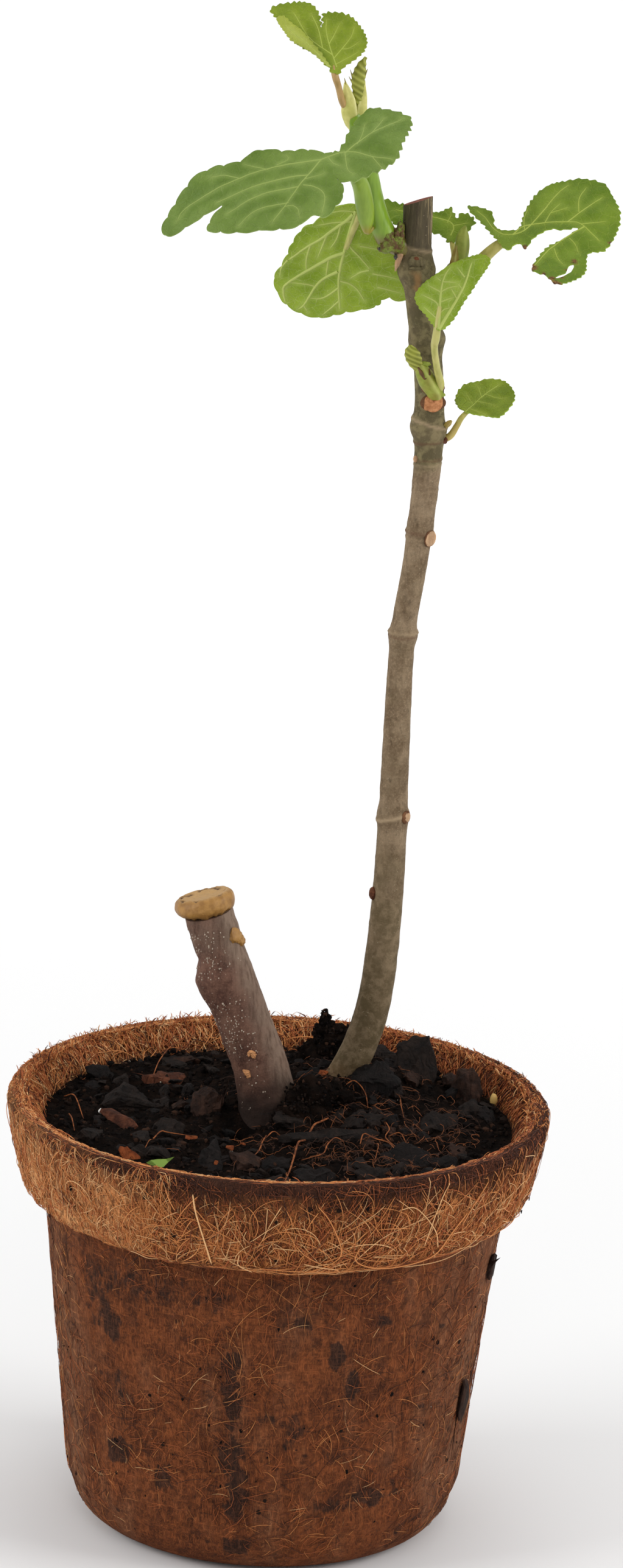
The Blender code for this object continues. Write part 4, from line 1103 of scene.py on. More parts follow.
ROOTS = [  # (x, y) along each root, and its thickest radius
    ([(-3, -20), (-4, -25), (-5, -32), (-8, -40)], 0.3), ([(-3, -21), (-1, -18), (1, -18)], 0.25),
    ([(14, -8), (12, -10), (10, -15), (8, -21), (6, -27), (5, -36), (4, -46), (3, -54), (2, -60)], 0.45),
    ([(3, -54), (1, -56), (-2, -59)], 0.22), ([(4, -46), (3, -50), (5, -58)], 0.22),
    ([(18, 8), (21, 9), (24, 5), (25, 1)], 0.25), ([(27, 2), (28, -2), (29, -3), (31, 1)], 0.22),
    ([(18, -22), (16, -23), (14, -28), (13, -33), (10, -36), (7, -36)], 0.28),
    ([(23, -22), (24, -18), (27, -21), (31, -23), (34, -28)], 0.3),
    ([(30, -7), (31, -13), (30, -19), (33, -22)], 0.25), ([(31, -14), (34, -16), (36, -20)], 0.22),
    ([(34, 8), (34, 1), (35, -4)], 0.2), ([(27, -21), (28, -28), (27, -35)], 0.18),
    ([(-34, -25), (-32, -20), (-30, -19), (-22, -21)], 0.3), ([(-36, -32), (-35, -29), (-34, -26)], 0.18),
    ([(-23, 61), (-30, 55), (-34, 41), (-36, 29)], 0.3), ([(-60, 11), (-57, 6), (-54, -5)], 0.3),
    ([(-58, -6), (-57, -12), (-56, -18)], 0.28), ([(3, 12), (9, 11), (13, 13)], 0.35)]


def build_roots():
    """The roots that lie on the mix, and the finer hair roots round them."""
    rng = random.Random(4)
    skin = mottled_finish("root_skin", 0.75, 0.2, (92, 50, 28), (158, 92, 50), (0.5, 3, 0.55, (0.35, 0.65)),
                          (3, 3), 0.1)
    made = []
    for line, radius in ROOTS:
        path = []
        for i, (x, y) in enumerate(line):
            share = i / (len(line) - 1)
            thin = radius * (0.28 + 0.36 * math.sin(math.pi * (0.25 + 0.7 * share)))
            rise = 1.5 + 1.3 * math.sin(math.pi * share) + rng.uniform(-0.3, 0.3)
            path.append((x, y, crumbly(x, y) + rise, thin))
        made.append(limb(path, 0.7, 8, relief=lambda a, z, at: 0.03 * noise.noise(at * 1.5)))
    piece("roots", joined(made), [skin], "soil", smooth=60)
    rng = np.random.default_rng(9)
    count, points = 620, 9
    start = np.stack([rng.normal(24, 17, count), rng.normal(-14, 20, count)], axis=1)
    away = np.linalg.norm(start, axis=1)
    start[away > 58] *= (50 / away[away > 58])[:, None]
    way, bend = rng.uniform(0, TURN, count), rng.normal(0, 0.25, count)
    stride = rng.uniform(2, 11, count) / points
    paths = np.zeros((count, points, 3))
    for k in range(points):
        high = [crumbly(*p) + 0.7 + 0.9 * math.sin(math.pi * k / (points - 1)) for p in start]
        paths[:, k] = np.column_stack([start, high])
        start = start + np.stack([np.cos(way), np.sin(way)], axis=1) * stride[:, None]
        way = way + bend
    hair = [plain_finish("root_hair", (138, 80, 44), 0.7), plain_finish("root_hair_dark", (72, 44, 30), 0.7)]
    radii = rng.uniform(0.035, 0.085, count)
    strands("root_hairs", paths, radii, deal_out(rng, count, (4, 6)), hair, "soil")


def build_scraps():
    """What lies on the mix: a torn bit of leaf, orange husks, a seed, a white grain."""
    husk = bark_finish("orange_husk", (112, 54, 28), (152, 80, 40))
    rng = random.Random(12)
    made = []
    for x, y, length, width, thick, tilt in (
            (-40, -40, 6.5, 4.5, 1.2, 0.9), (-12.8, -27.7, 2.6, 2, 1.2, 0.5), (-9.2, -22.4, 2.4, 1.6, 1, 0.6),
            (-16, -42, 3, 2, 1.4, 0.8), (-24, -21, 5, 2, 1, 0.4), (12, 15, 3.6, 2, 1, 0.5)):
        chip = chip_shape(rng, length, width, thick, corners=9)
        made.append(lay(chip, x, y, crumbly(x, y) + 1.4, rng.uniform(-0.6, 0.6), tilt, 0.2))
    piece("husks", joined(made), [husk], "soil", smooth=30)
    bm = bmesh.new()
    outline = [(-3.9, 0.2), (-2.6, 1.1), (-0.5, 1.5), (1.6, 1.3), (4, 1.6), (2.2, 0.2), (0.8, -1.1),
               (-0.4, -1.2), (-1, -0.6), (-1.8, -0.9)]
    sheet = bm.faces.new([bm.verts.new((x, y, 0.12 * x * x * 0.3)) for x, y in outline])
    bmesh.ops.solidify(bm, geom=[sheet], thickness=0.3)
    bmesh.ops.recalc_face_normals(bm, faces=bm.faces)
    scrap = lay(bm, -31.5, -44.5, crumbly(-31.5, -44.5) + 2.4, 0.15, 0.75, -0.1)
    piece("leaf_scrap", scrap, [plain_finish("green_scrap", (120, 148, 60), 0.55)], "leaf")
    piece("seed", lump((60.4, 20, 118), (1.1, 1, 2), 0.1, 2, 2),
          [plain_finish("pale_seed", (196, 160, 92), 0.5)], "soil")
    piece("white_grain", lump((-49, -1.1, crumbly(-49, -1.1) + 1.1), (1.1, 0.8, 0.8), 0.3, 2, 2),
          [plain_finish("white_grain", (228, 226, 220), 0.6)], "soil")


def build_wall_chips():
    """Two scraps of bark stuck to the outside of the wall."""
    rng = random.Random(8)
    for end, degrees, z, height in (("low", -21, 43.5, 14), ("high", -15, 81, 8.6)):
        chip = chip_shape(rng, 1.9, 5.6, height, corners=22, rough=0.05)
        angle, radius = math.radians(degrees), float(wall_radius(z)) + 0.8
        chip.transform(Matrix.Rotation(angle, 4, 'Z') @ Matrix.Rotation(LEAN, 4, 'Y'))
        at = (radius * math.cos(angle), radius * math.sin(angle), z)
        bmesh.ops.translate(chip, vec=at, verts=chip.verts)
        piece("bark_scrap_" + end, as_mesh(chip, 0), [CHIPS[2]], "bark_chip", "bark_chip_" + end, smooth=32)


# ---------------------------------------------------------------- stump and wax
STUMP_AXIS = [  # x, y, z, radius
    (-2.6, 4, 106, 8.8), (-2.7, 4, 118, 8.4), (-5.9, 3.8, 131, 7.7), (-11, 3.4, 144, 7.5),
    (-15.2, 3, 155, 7.5), (-17.9, 2.6, 163, 6.9), (-21.6, 2, 175, 6.6)]


def stump_skin(angle, z, at):
    left = max(-math.cos(angle), 0)
    push = 1.5 * hump(z, 153.5, 5) * left ** 1.5 - 0.7 * hump(z, 161, 1.8) * left
    push += 0.35 * hump(z - 2 * math.cos(angle), 157.5, 1.1) * (1 - step(-0.2, 0.6, math.cos(angle)))
    push += 0.25 * hump(z, 171, 2.5) + bumps(at, (0.22, 0.12), (0.13, 0.5))
    return push + 0.08 * noise.noise(Vector((at.x * 1.6, at.y * 1.6, at.z * 0.25)))


def on_limb(path, z, angle, out=0):
    """The point on a limb's skin at a height and an angle, and the way the skin faces there."""
    line = evenly(path, 0.5)
    i = min(range(1, len(line) - 1), key=lambda k: abs(line[k][2] - z))
    right, back = axes_of(line, i)
    facing = right * math.cos(angle) + back * math.sin(angle)
    return line[i].to_3d() + facing * (line[i][3] + out), facing


def stuck_on(path, z, angle, size, rough, seed, out=0, level=4, finish=0):
    """A flattened lump on a limb: size is across, along, and thick."""
    at, facing = on_limb(path, z, angle, out)
    return lump(at, size, rough, seed, level, aim(facing), finish)


def build_stump():
    # Grey bark, paler on the right side as painted light from the right, with random grey patches and grey
    # near the top.
    def grey_bark_and_light(angle, z, at):
        right = step(-0.05, 0.85, math.cos(angle - 0.1))
        return 0.85 * right + 0.25 * noise.noise(at * 0.2) + 0.35 * step(158, 170, z)

    def dampness(angle, z, at):
        return 0.97 * (1 - step(119, 134, z - 1.2 * math.cos(angle) + 3 * noise.noise(at * 0.25)))

    body = limb(STUMP_AXIS, 0.6, 96, stump_skin, {"grey": grey_bark_and_light, "damp": dampness})
    piece("stump", body, [stump_bark()], "stump_bark", "cut_stump", smooth=50)
    rng = np.random.default_rng(6)
    spots, sizes = [], []
    while len(spots) < 240:
        bands = [rng.uniform(158, 172), rng.uniform(136, 153), rng.uniform(120, 150)]
        z = rng.choice(bands, p=[0.45, 0.42, 0.13])
        angle = rng.normal(FRONT - 0.45, 0.5)
        at, facing = on_limb(STUMP_AXIS, z, angle)
        spots.append(at + facing * (stump_skin(angle, at.z, at) - 0.02))
        grain = rng.uniform(0.09, 0.25)
        sizes.append((grain, grain, grain * 1.2))
    white = plain_finish("pale_pore", (180, 165, 148), 0.9, 0.1)
    scattered("stump_pores", np.array(spots), np.array(sizes), np.zeros(len(spots), int), [white],
              "stump_bark", seed=8)
    scars = [stuck_on(STUMP_AXIS, z, FRONT + turn, size, 0.6, seed) for z, turn, size, seed in (
        (136.9, -0.02, (0.9, 0.7, 0.4), 4), (135.9, 0.03, (0.6, 0.8, 0.35), 5),
        (136.4, -0.14, (0.35, 0.4, 0.3), 8), (131.4, -0.42, (0.9, 0.9, 0.4), 7),
        (130.6, -0.40, (0.7, 0.8, 0.4), 9), (132, -0.52, (0.5, 0.5, 0.35), 2))]
    orange = plain_finish("orange_scar", (202, 146, 100), 0.9, 0.1)
    piece("stump_scars", joined(scars), [orange], "stump_bark")


def build_wax():
    """A thick drop-edged cap of wax over the cut, and one run of it on the bark."""
    below, top = (Vector(p[:3]) for p in STUMP_AXIS[-2:])
    along = (top - below).normalized()
    tilt = (along + Vector((0.03, 0.12, 0))).normalized()
    thick, over = 5.2, 8.5
    edge = [(over * math.cos(a) * 0.24 + over * 0.76, thick * 0.5 + thick * 0.5 * math.sin(a))
            for a in np.linspace(1.35, -1.4, 16)]
    profile = [(0, thick * 0.78), (over * 0.45, thick * 0.8), (over * 0.66, thick * 0.9)] + edge
    bm = turned(fine(profile + [(over * 0.7, -0.6), (0, -0.6)], 0.4), 160)
    dark_groove_and_edge, above = new_marks(bm, "dark_groove_and_edge", "top")
    for vert in bm.verts:
        x, y, z = vert.co
        radius, angle = math.hypot(x, y), math.atan2(y, x)
        round_it = Vector((math.cos(angle), math.sin(angle), 0))
        if radius > 0.5:
            push_out(vert, bumps(vert.co, (0.22, 0.3), (0.06, 1.1))
                     + 0.6 * math.cos(angle - math.pi) * hump(z, thick * 0.4, 3), radius)
        if z < 1.2 and radius > 5.5:
            drip = 0.7 * noise.noise(round_it * 2.6)
            drip += 0.9 * max(noise.noise(round_it * 6 + Vector((3, 0, 0))), 0)
            vert.co.z -= max(drip, -0.2) * (step(1.2, -0.4, z) if z > -0.5 else 1)
        off = abs(radius - 6.3 - 1.1 * noise.noise(round_it * 1.7) - 0.5 * noise.noise(vert.co * 0.9))
        cracked = step(-0.12, 0.1, noise.noise(round_it * 1.9 + Vector((0, 4, 0))))
        groove = (1 - step(0.15, 0.65, off)) * cracked
        if z > thick * 0.7:
            vert.co.z += 0.2 * noise.noise(vert.co * 0.5) - 0.7 * groove
            vert[dark_groove_and_edge] = groove
            vert[above] = 0.8 * (1 - step(6.6, 8, radius)) * step(thick * 0.72, thick * 0.9, z + 0.6)
        elif z < 0.4 and radius > 5.5:
            # Darker under the cap's drip edge.
            vert[dark_groove_and_edge] = 0.5 * step(0.4, -0.5, z)
    bm.transform(Matrix.Translation(top + along * 0.2) @ aim(tilt))
    piece("wax_cap_cast", as_mesh(bm), [WAX], "wax", "wax_cap")
    run = [stuck_on(STUMP_AXIS, z, angle, size, 0.22, seed, 0.15) for z, angle, size, seed in (
        (168.2, -0.62, (2.1, 2.2, 1.1), 3), (165.8, -0.30, (1.7, 1.6, 1.1), 5),
        (167.2, -0.42, (1.5, 1.8, 0.9), 8))]
    piece("wax_run", joined(run), [WAX], "wax", "wax_drop")


# ---------------------------------------------------------------- cane
CANE_AXIS = [  # x, y, z
    (10, 22.6, 112), (14, 22.4, 117), (18.4, 22, 123.3), (22.6, 21.6, 133.5), (25.6, 21, 146),
    (27.3, 20.6, 165), (28.1, 20.3, 190), (28.1, 20, 222), (28.5, 20, 252), (31.2, 20, 276),
    (33, 20, 304), (32, 20, 326), (29, 20, 345), (27.3, 20, 357), (26.8, 20, 375),
    (26.8, 20, 379)]
CANE_NODES = [(354.5, 1.1), (335.5, 0.6), (310.5, 0.6), (283, 0.25), (252, 0.6), (199.5, 0.5)]
CUT_POINT, CUT_NORMAL = (27, 20, 374.3), (-0.33, 0.12, 0.94)


def cane_radius(z):
    radius = 4.8 - 1.4 * step(118, 270, z) + 0.6 * step(270, 320, z)
    return radius + sum(swell * hump(z, node_z, 2.6) for node_z, swell in CANE_NODES)


CANE_PATH = [(*p, cane_radius(p[2])) for p in evenly(CANE_AXIS, 2)]

RINGS = [  # height at the axis, rise from left to right, width, how proud, how pale (below 0: dark)
    (361.4, -1.6, 0.5, 0.25, 0.5), (358, 0, 2.2, 0.25, 0), (312.6, -2.6, 0.6, 0.35, 0.7),
    (310, 0, 3, 0.3, 0.1), (307.4, 0.8, 0.5, 0.3, -0.6), (302.4, 0.4, 0.45, 0.28, -0.5),
    (301, 0.4, 0.4, 0.2, 0.4), (293.6, 0.3, 0.4, 0.1, 0.2), (281.6, -0.6, 0.6, 0.4, -0.5),
    (280, -0.4, 0.5, 0.25, 0.2), (253.1, 0, 0.5, 0.4, 0.6), (252, 0, 0.4, 0.1, -0.5),
    (199.9, 2.6, 0.7, 0.35, 0.9), (336, 0.4, 3, 0.15, 0)]


def cane_skin(angle, z, at):
    side = math.cos(angle)
    push = bumps(at, (0.10, 0.3), (0.04, 1.4))
    push += 0.07 * noise.noise(Vector((at.x * 1.8, at.y * 1.8, at.z * 0.3)))
    for centre, rise, width, proud, _ in RINGS:
        push += proud * hump(z - 0.5 * rise * side, centre, width)
    left = max(-side, 0)
    push += 0.8 * hump(z, 312.5, 3.4) * left ** 2 + 0.5 * hump(z, 357.5, 5) * left
    push += 0.9 * hump(z, 336.8, 3.6) * max(side, 0) ** 2
    if z > 362.5:
        push += 0.16 * noise.noise(Vector((side * 5, math.sin(angle) * 5, z * 0.05)))
    return push


def ring_mark(sign):
    def rule(angle, z, at):
        level, side = z + 0.3 * noise.noise(at * 0.8), 0.5 * math.cos(angle)
        return max(abs(shade) * hump(level - rise * side, centre, width * 0.8)
                   for centre, rise, width, _, shade in RINGS if shade * sign > 0)
    return rule


def front_strip(angle, z, at):
    across = 1 - step(0.12, 0.34, abs(angle - FRONT + 0.05 + 0.2 * noise.noise(at * 0.5)))
    return 0.75 * across * step(346, 350, z) * (1 - step(354, 356.5, z))


def build_cane():
    marks = {"olive": lambda a, z, at: 0.9 * (1 - step(150, 215, z)) + 0.35 * noise.noise(at * 0.1),
             "upper": lambda a, z, at: 0.9 * step(298, 303, z) + 0.25 * noise.noise(at * 0.15),
             "dead": lambda a, z, at: step(360.5, 362.5, z + 0.8 * math.cos(a)),
             # Pale streaks on the stub, strongest on its right side, where they are partly painted light.
             "pale_streaks_and_light": lambda a, z, at: (0.15 + 0.85 * step(0.25, 0.7, math.cos(a))) * step(361, 364, z),
             "pale_ring": ring_mark(1), "dark_ring": ring_mark(-1), "rust": front_strip,
             "damp": lambda a, z, at: 0.4 - 0.4 * step(121, 130, z + 2 * noise.noise(at * 0.4))}
    mesh = limb(CANE_PATH, 0.5, 64, cane_skin, marks)
    bm = bmesh.new()
    bm.from_mesh(mesh)
    cut = bmesh.ops.bisect_plane(bm, geom=bm.verts[:] + bm.edges[:] + bm.faces[:], dist=0.000001,
                                 plane_co=Vector(CUT_POINT) * MM, plane_no=CUT_NORMAL, clear_outer=True)
    rim = [item for item in cut["geom_cut"] if isinstance(item, bmesh.types.BMEdge)]
    for face in bmesh.ops.holes_fill(bm, edges=rim)["faces"]:
        face.material_index = 1
    bmesh.ops.recalc_face_normals(bm, faces=bm.faces)
    bm.to_mesh(mesh)
    bm.free()
    wood = mottled_finish("cut_wood", 0.8, 0.2, (112, 56, 44), (158, 96, 78), (1.2, 5, 0.55, (0.35, 0.65)),
                          (2, 5), 0.3)
    piece("cane", mesh, [cane_bark(), wood], "cane_bark", "main_cane", smooth=50)


def build_cane_marks():
    """Leaf scars, small buds, a torn sliver and the bud scar with its lips."""
    cork = mottled_finish("leaf_scar_cork", 0.75, 0.25, (158, 102, 62), (196, 136, 92),
                          (0.9, 4, 0.55, (0.35, 0.68)), (1.4, 4), 0.12)
    rim, bud_brown, pale, grey = (bark_finish(*given) for given in (
        ("scar_rim", (92, 60, 42), (128, 88, 60), 0.7), ("brown_bud", (92, 54, 38), (134, 82, 54), 0.6),
        ("torn_wood", (196, 152, 114), (224, 186, 148), 0.8),
        ("bud_scar_lip", (98, 88, 62), (134, 122, 90), 0.75)))
    made = [stuck_on(CANE_PATH, *given) for given in (
        (319, FRONT + 0.24, (3.6, 2.5, 0.7), 0.04, 2, 0, 4, 1),
        (319.1, FRONT - 0.14, (1.8, 2.1, 0.8), 0.04, 3, 0.4, 4, 0),
        (319.1, FRONT + 0.6, (1.8, 2.1, 0.8), 0.04, 5, 0.4, 4, 0),
        (318, FRONT + 0.24, (2, 1.6, 0.7), 0.04, 6, 0.4, 4, 0),
        (323, FRONT + 0.25, (3.4, 1.7, 1), 0.12, 6, 0, 3, 2),
        (280.4, -0.62, (2.35, 2.4, 0.8), 0.05, 1, 0.1, 4, 1),
        (280.5, -0.62, (2.2, 2.25, 0.9), 0.05, 2, 0.4, 4, 3),
        (200.2, -0.6, (1.8, 1.9, 0.8), 0.08, 1.5, 0, 4, 1),
        (200.1, -0.6, (1.4, 1.5, 0.7), 0.08, 2.5, 0.25, 3, 3),
        (177.5, math.pi + 0.35, (1.3, 1.9, 1.1), 0.1, 3.5, 0.1, 4, 2),
        (302.6, -2.6, (0.8, 1, 0.7), 0.1, 3.5, 0.1, 3, 3),
        (358.2, FRONT - 0.02, (2.4, 1.9, 0.9), 0.2, 4.5, 0, 4, 4),
        (358.9, FRONT - 0.02, (0.8, 0.7, 0.5), 0.2, 4.5, 0.6, 3, 2),
        (356.4, FRONT - 0.02, (2.1, 0.5, 0.6), 0.2, 4.5, 0.3, 3, 4),
        (307.9, -0.25, (1.2, 1, 1), 0.2, 4.5, 0.1, 3, 2))]
    piece("cane_marks", joined(made), [cork, rim, bud_brown, pale, grey], "cane_bark", smooth=50)
    path = [(22.9, 17.3, 360.6, 0.7), (22.5, 16.8, 359.2, 0.9), (21.9, 16.9, 357, 0.65),
            (21.5, 17.4, 355, 0.2)]
    sliver = limb(path, 0.4, 12, relief=lambda a, z, at: 0.15 * noise.noise(at * 1.2), flat=0.6)
    piece("torn_sliver", sliver, [pale], "cane_bark")


# ---------------------------------------------------------------- green shoots
UPPER_SHOOT = [
    (25, 20, 360.8, 3), (22, 19.2, 362, 3.2), (19.2, 18.6, 363.6, 3.2), (16.6, 17.6, 368.2, 3.1),
    (14.6, 16.8, 374, 3), (13, 15.8, 381, 2.8), (11.2, 14.6, 389, 2.6), (8.8, 13.6, 396.4, 2.4),
    (8, 13.3, 398.2, 2)]
RIGHT_SHOOT = [
    (31, 20, 349.4, 2), (35.2, 20.8, 351.6, 2.2), (37.8, 21.3, 355.4, 2.3), (38.4, 21.4, 356.8, 1.8)]


def build_shoots():
    def skin(angle, z, at):
        return 0.12 * math.sin(3 * angle + z * 0.05) + 0.08 * noise.noise(at * 0.4)

    for name, path, sides, browned, low, high, red in (
            ("upper_shoot", UPPER_SHOOT, 40, 0.8, 362.5, 366.5, 0),
            ("right_shoot", RIGHT_SHOOT, 32, 0.9, 350, 353.5, 0.3)):
        marks = {"brown": lambda a, z, at: browned * (1 - step(low, high, z)), "red": lambda a, z, at: red}
        piece(name + "_stem", limb(path, 0.5, sides, skin, marks), [GREEN], "green_stem", name, smooth=60)
    scar = mottled_finish("stipule_scar", 0.55, 0.4, (92, 62, 28), (122, 138, 48),
                          (0.6, 5, 0.65, (0.4, 0.6)), (1.2, 6), 0.6)
    made = [lump(*given) for given in (
        ((19.9, 16.6, 363), (3, 2.4, 2.9), 0.3, 3, 4),
        ((21.9, 17, 363.6), (1.9, 2.2, 3.4), 0.35, 5, 4),
        ((18.2, 16.4, 361.4), (1.7, 1.6, 1.4), 0.3, 7), ((22.4, 17.6, 366.6), (1.2, 1.4, 2.2), 0.3, 9))]
    piece("stipule_scar", joined(made), [scar], "green_stem", smooth=60)
    drops = [lump((16.9, 15.4, 361.4), (0.45, 0.4, 0.45), 0.1, 1),
             lump((21.4, 15.6, 359.4), (0.45, 0.4, 0.9), 0.4, 2)]
    piece("sap_drops", joined(drops), [plain_finish("sap_drop", (40, 34, 26), 0.08, 0.6)], "green_stem")


# ---------------------------------------------------------------- leaves
BLADE = 0.44          # how thick a blade is
GRID = 0.6            # how far apart a blade's inner points are
OUTLINE_STEP = 0.28   # how far apart the points of its toothed edge are


class Leaf:
    """A blade, flat in (along the heading, to its left) millimetres from where the stalk joins it.

    bend is how far it droops along the heading, cups across it and ripples, each 20 mm out.
    teeth is how far apart, how deep and how skewed they are (0.5 is rounded), or a rule that gives
    these by place. under is True where the side that faces the front is the lower one. burnt holds
    (u, v, radius) of each brown patch, blush is how red the stalk's foot is, and nodes are the CAD
    nodes it stands for where that isn't its own name.
    """

    def __init__(self, name, junction, facing, heading, stalk, bend, outline, veins, teeth, finishes,
                 under=False, holes=(), burnt=(), lift=0, nodes=None, blush=0):
        self.name, self.outline, self.veins, self.teeth = name, outline, veins, teeth
        self.stalk, self.finishes, self.under, self.holes, self.burnt = stalk, finishes, under, holes, burnt
        (self.droop, self.cup, self.ripple), self.lift, self.blush = bend, lift, blush
        self.nodes = (name,) if nodes is None else nodes
        normal = Vector(facing).normalized()
        along = Vector(heading)
        along = (along - normal * along.dot(normal)).normalized()
        turn = Matrix((along, normal.cross(along), normal)).transposed().to_4x4()
        self.matrix = Matrix.Translation(Vector(junction)) @ turn
        self.seed = Vector((sum(map(ord, name)) * 0.37, 0, 0))

    def height(self, u, v):
        reach = math.hypot(u, v)
        wave = math.sin(3 * math.atan2(v, u) + 0.6) * (reach / 20) ** 2
        at = Vector((u, v, 0))
        crumple = 0.55 * noise.noise(at * 0.13 + self.seed) + 0.2 * noise.noise(at * 0.4)
        return (self.cup * (v / 20) ** 2 - self.droop * (u / 20) ** 2 + self.ripple * wave
                + crumple * min(reach / 8, 1))


def tooth(share, peak):
    """How far a tooth stands out at a share of its length: rounded, or leaning to its peak."""
    if peak == 0.5:
        return math.sin(math.pi * share) ** 0.6
    return share / peak if share < peak else (1 - share) / (1 - peak)


def toothed(outline, teeth, seed):
    """A smooth closed outline with teeth that lean towards the tip on both sides."""
    ring = smooth_through([(u, v, 0) for u, v in outline], 16, closed=True)
    if sum(a.x * b.y - b.x * a.y for a, b in zip(ring, ring[1:] + ring[:1])) < 0:
        ring.reverse()
    ring.append(ring[0])
    lengths = np.cumsum([0] + [(b - a).length for a, b in zip(ring, ring[1:])])
    count = round(lengths[-1] / OUTLINE_STEP)
    made, phase = [], 0
    for k in range(count):
        walked = lengths[-1] * k / count
        i = min(int(np.searchsorted(lengths, walked, side='right')) - 1, len(ring) - 2)
        ahead = ring[i + 1] - ring[i]
        at = ring[i] + ahead * ((walked - lengths[i]) / max(ahead.length, 1e-9))
        pitch, depth, peak = teeth(at.x, at.y) if callable(teeth) else teeth
        phase += OUTLINE_STEP / (pitch * (1 + 0.7 * noise.noise(at * 0.15 + seed)))
        size = depth * (0.8 + 0.7 * noise.noise(at * 0.25 - seed))
        out = Vector((ahead.y, -ahead.x, 0)).normalized()
        made.append(at + out * (size * (tooth(phase % 1, peak if at.y < 0 else 1 - peak) - 0.45)))
    return made


def within(at, ring):
    """True where a flat point lies inside a ring of (u, v) points."""
    odd = False
    for (u0, v0), (u1, v1) in zip(ring, ring[1:] + ring[:1]):
        if (v0 > at.y) != (v1 > at.y) and at.x < u0 + (at.y - v0) / (v1 - v0) * (u1 - u0):
            odd = not odd
    return odd


def flat_blade(leaf):
    """The blade's flat outline, cut across both ways into small faces, with its holes let in."""
    bm = bmesh.new()
    bm.faces.new([bm.verts.new(p) for p in toothed(leaf.outline, leaf.teeth, leaf.seed)])
    for axis, across in enumerate((Vector((1, 0, 0)), Vector((0, 1, 0)))):
        reach = [p[axis] for p in leaf.outline]
        for k in range(math.floor((min(reach) - 1) / GRID), math.ceil((max(reach) + 1) / GRID) + 1):
            bmesh.ops.bisect_plane(bm, geom=bm.verts[:] + bm.edges[:] + bm.faces[:], dist=0.002,
                                   plane_co=across * (k + 0.37) * GRID, plane_no=across)
    bmesh.ops.triangulate(bm, faces=[face for face in bm.faces if len(face.verts) > 4])
    for hole in leaf.holes:
        inside = [face for face in bm.faces if within(face.calc_center_median(), hole)]
        ragged = {vert for face in inside for vert in face.verts}
        bmesh.ops.delete(bm, geom=inside, context='FACES')
        ends = [Vector((u, v, 0)) for u, v in hole]
        sides = list(zip(ends, ends[1:] + ends[:1]))
        for vert in (vert for vert in ragged if vert.is_valid):
            near = [a.lerp(b, clamp(intersect_point_line(vert.co, a, b)[1])) for a, b in sides]
            vert.co = min(near, key=lambda at: (at - vert.co).length)
    return bm


def from_veins(leaf, places):
    """How far each flat place is from the nearest vein."""
    nearest = np.full(len(places), 99.0)
    for vein in leaf.veins:
        ends = np.array(vein, dtype=float)
        for a, b in zip(ends, ends[1:]):
            run = b - a
            share = np.clip(((places - a) @ run) / (run @ run), 0, 1)
            nearest = np.minimum(nearest, np.linalg.norm(places - (a + share[:, None] * run), axis=1))
    return nearest


def vein_tube(leaf, vein):
    """A vein as a fine tapered tube sunk in the blade. It is made with its height as X, then turned."""
    length = sum(math.dist(a, b) for a, b in zip(vein, vein[1:]))
    thick = min(0.15 + 0.015 * length, 0.52) * (1.15 if leaf.under else 0.72)
    line = evenly([(u, v, 0) for u, v in vein], 1.1)
    points = []
    for k, at in enumerate(line):
        share = k / (len(line) - 1)
        radius = thick * (1 - 0.6 * share) if share < 1 else 0.03
        sunk = -0.5 * BLADE + 0.3 * radius if leaf.under else 0.5 * BLADE + 0.04 - 0.9 * radius
        points.append((leaf.height(at.x, at.y) + leaf.lift + sunk, at.x, at.y, radius))
    mesh = limb(points, 1.1, 12, finish=3)
    mesh.transform(Matrix(((0, 1, 0, 0), (0, 0, 1, 0), (1, 0, 0, 0), (0, 0, 0, 1))))
    return mesh


def build_blade(leaf):
    bm = flat_blade(leaf)
    uv = bm.loops.layers.uv.new("UVMap")
    veiny, brown = new_marks(bm, "vein", "brown")
    places = np.array([vert.co.xy for vert in bm.verts], dtype=float)
    for vert, near in zip(bm.verts, from_veins(leaf, places)):
        u, v = vert.co.xy
        puff = 0.3 * (1 - math.exp(-(near / 1.9) ** 2))
        vert.co.z = leaf.height(u, v) + leaf.lift + puff + 0.5 * BLADE
        vert[veiny] = math.exp(-(near / 0.85) ** 2)
        for bu, bv, radius in leaf.burnt:
            rough = radius * (1 + 0.5 * noise.noise(Vector((u, v, 0)) * 0.7))
            vert[brown] = max(vert[brown], 1 - step(rough * 0.6, rough, math.hypot(u - bu, v - bv)))
    for face in bm.faces:
        for loop in face.loops:
            loop[uv].uv = (loop.vert.co.x / 100 + 0.5, loop.vert.co.y / 100 + 0.5)
    top = set(bm.faces)
    made = bmesh.ops.extrude_face_region(bm, geom=bm.faces[:], use_keep_orig=True)
    under = [item for item in made["geom"] if isinstance(item, bmesh.types.BMVert)]
    bmesh.ops.translate(bm, vec=(0, 0, -BLADE), verts=under)
    bmesh.ops.recalc_face_normals(bm, faces=bm.faces)
    for face in bm.faces:
        face.material_index = 0 if face in top else 1
    return as_mesh(bm)


def build_leaf(leaf):
    shape = leaf.matrix.copy()
    shape.translation *= MM
    parts = [joined([build_blade(leaf)] + [vein_tube(leaf, vein) for vein in leaf.veins])]
    parts[0].transform(shape)
    if leaf.stalk:
        u, v = (0.6 * c for c in leaf.veins[0][1])
        end = leaf.matrix @ Vector((u, v, leaf.height(u, v) - 0.5 * BLADE - 0.3))
        foot = leaf.stalk[2][2]
        marks = {"red": lambda a, z, at: leaf.blush * (1 - step(foot - 0.5, foot + 2.5, z)),
                 "brown": lambda a, z, at: 0}
        parts.append(limb(leaf.stalk + [(*end, leaf.stalk[-1][3] * 0.5)], 0.6, 24, marks=marks, finish=2))
    piece(leaf.name + "_grown", joined(parts), leaf.finishes, "leaf", *leaf.nodes, smooth=60)


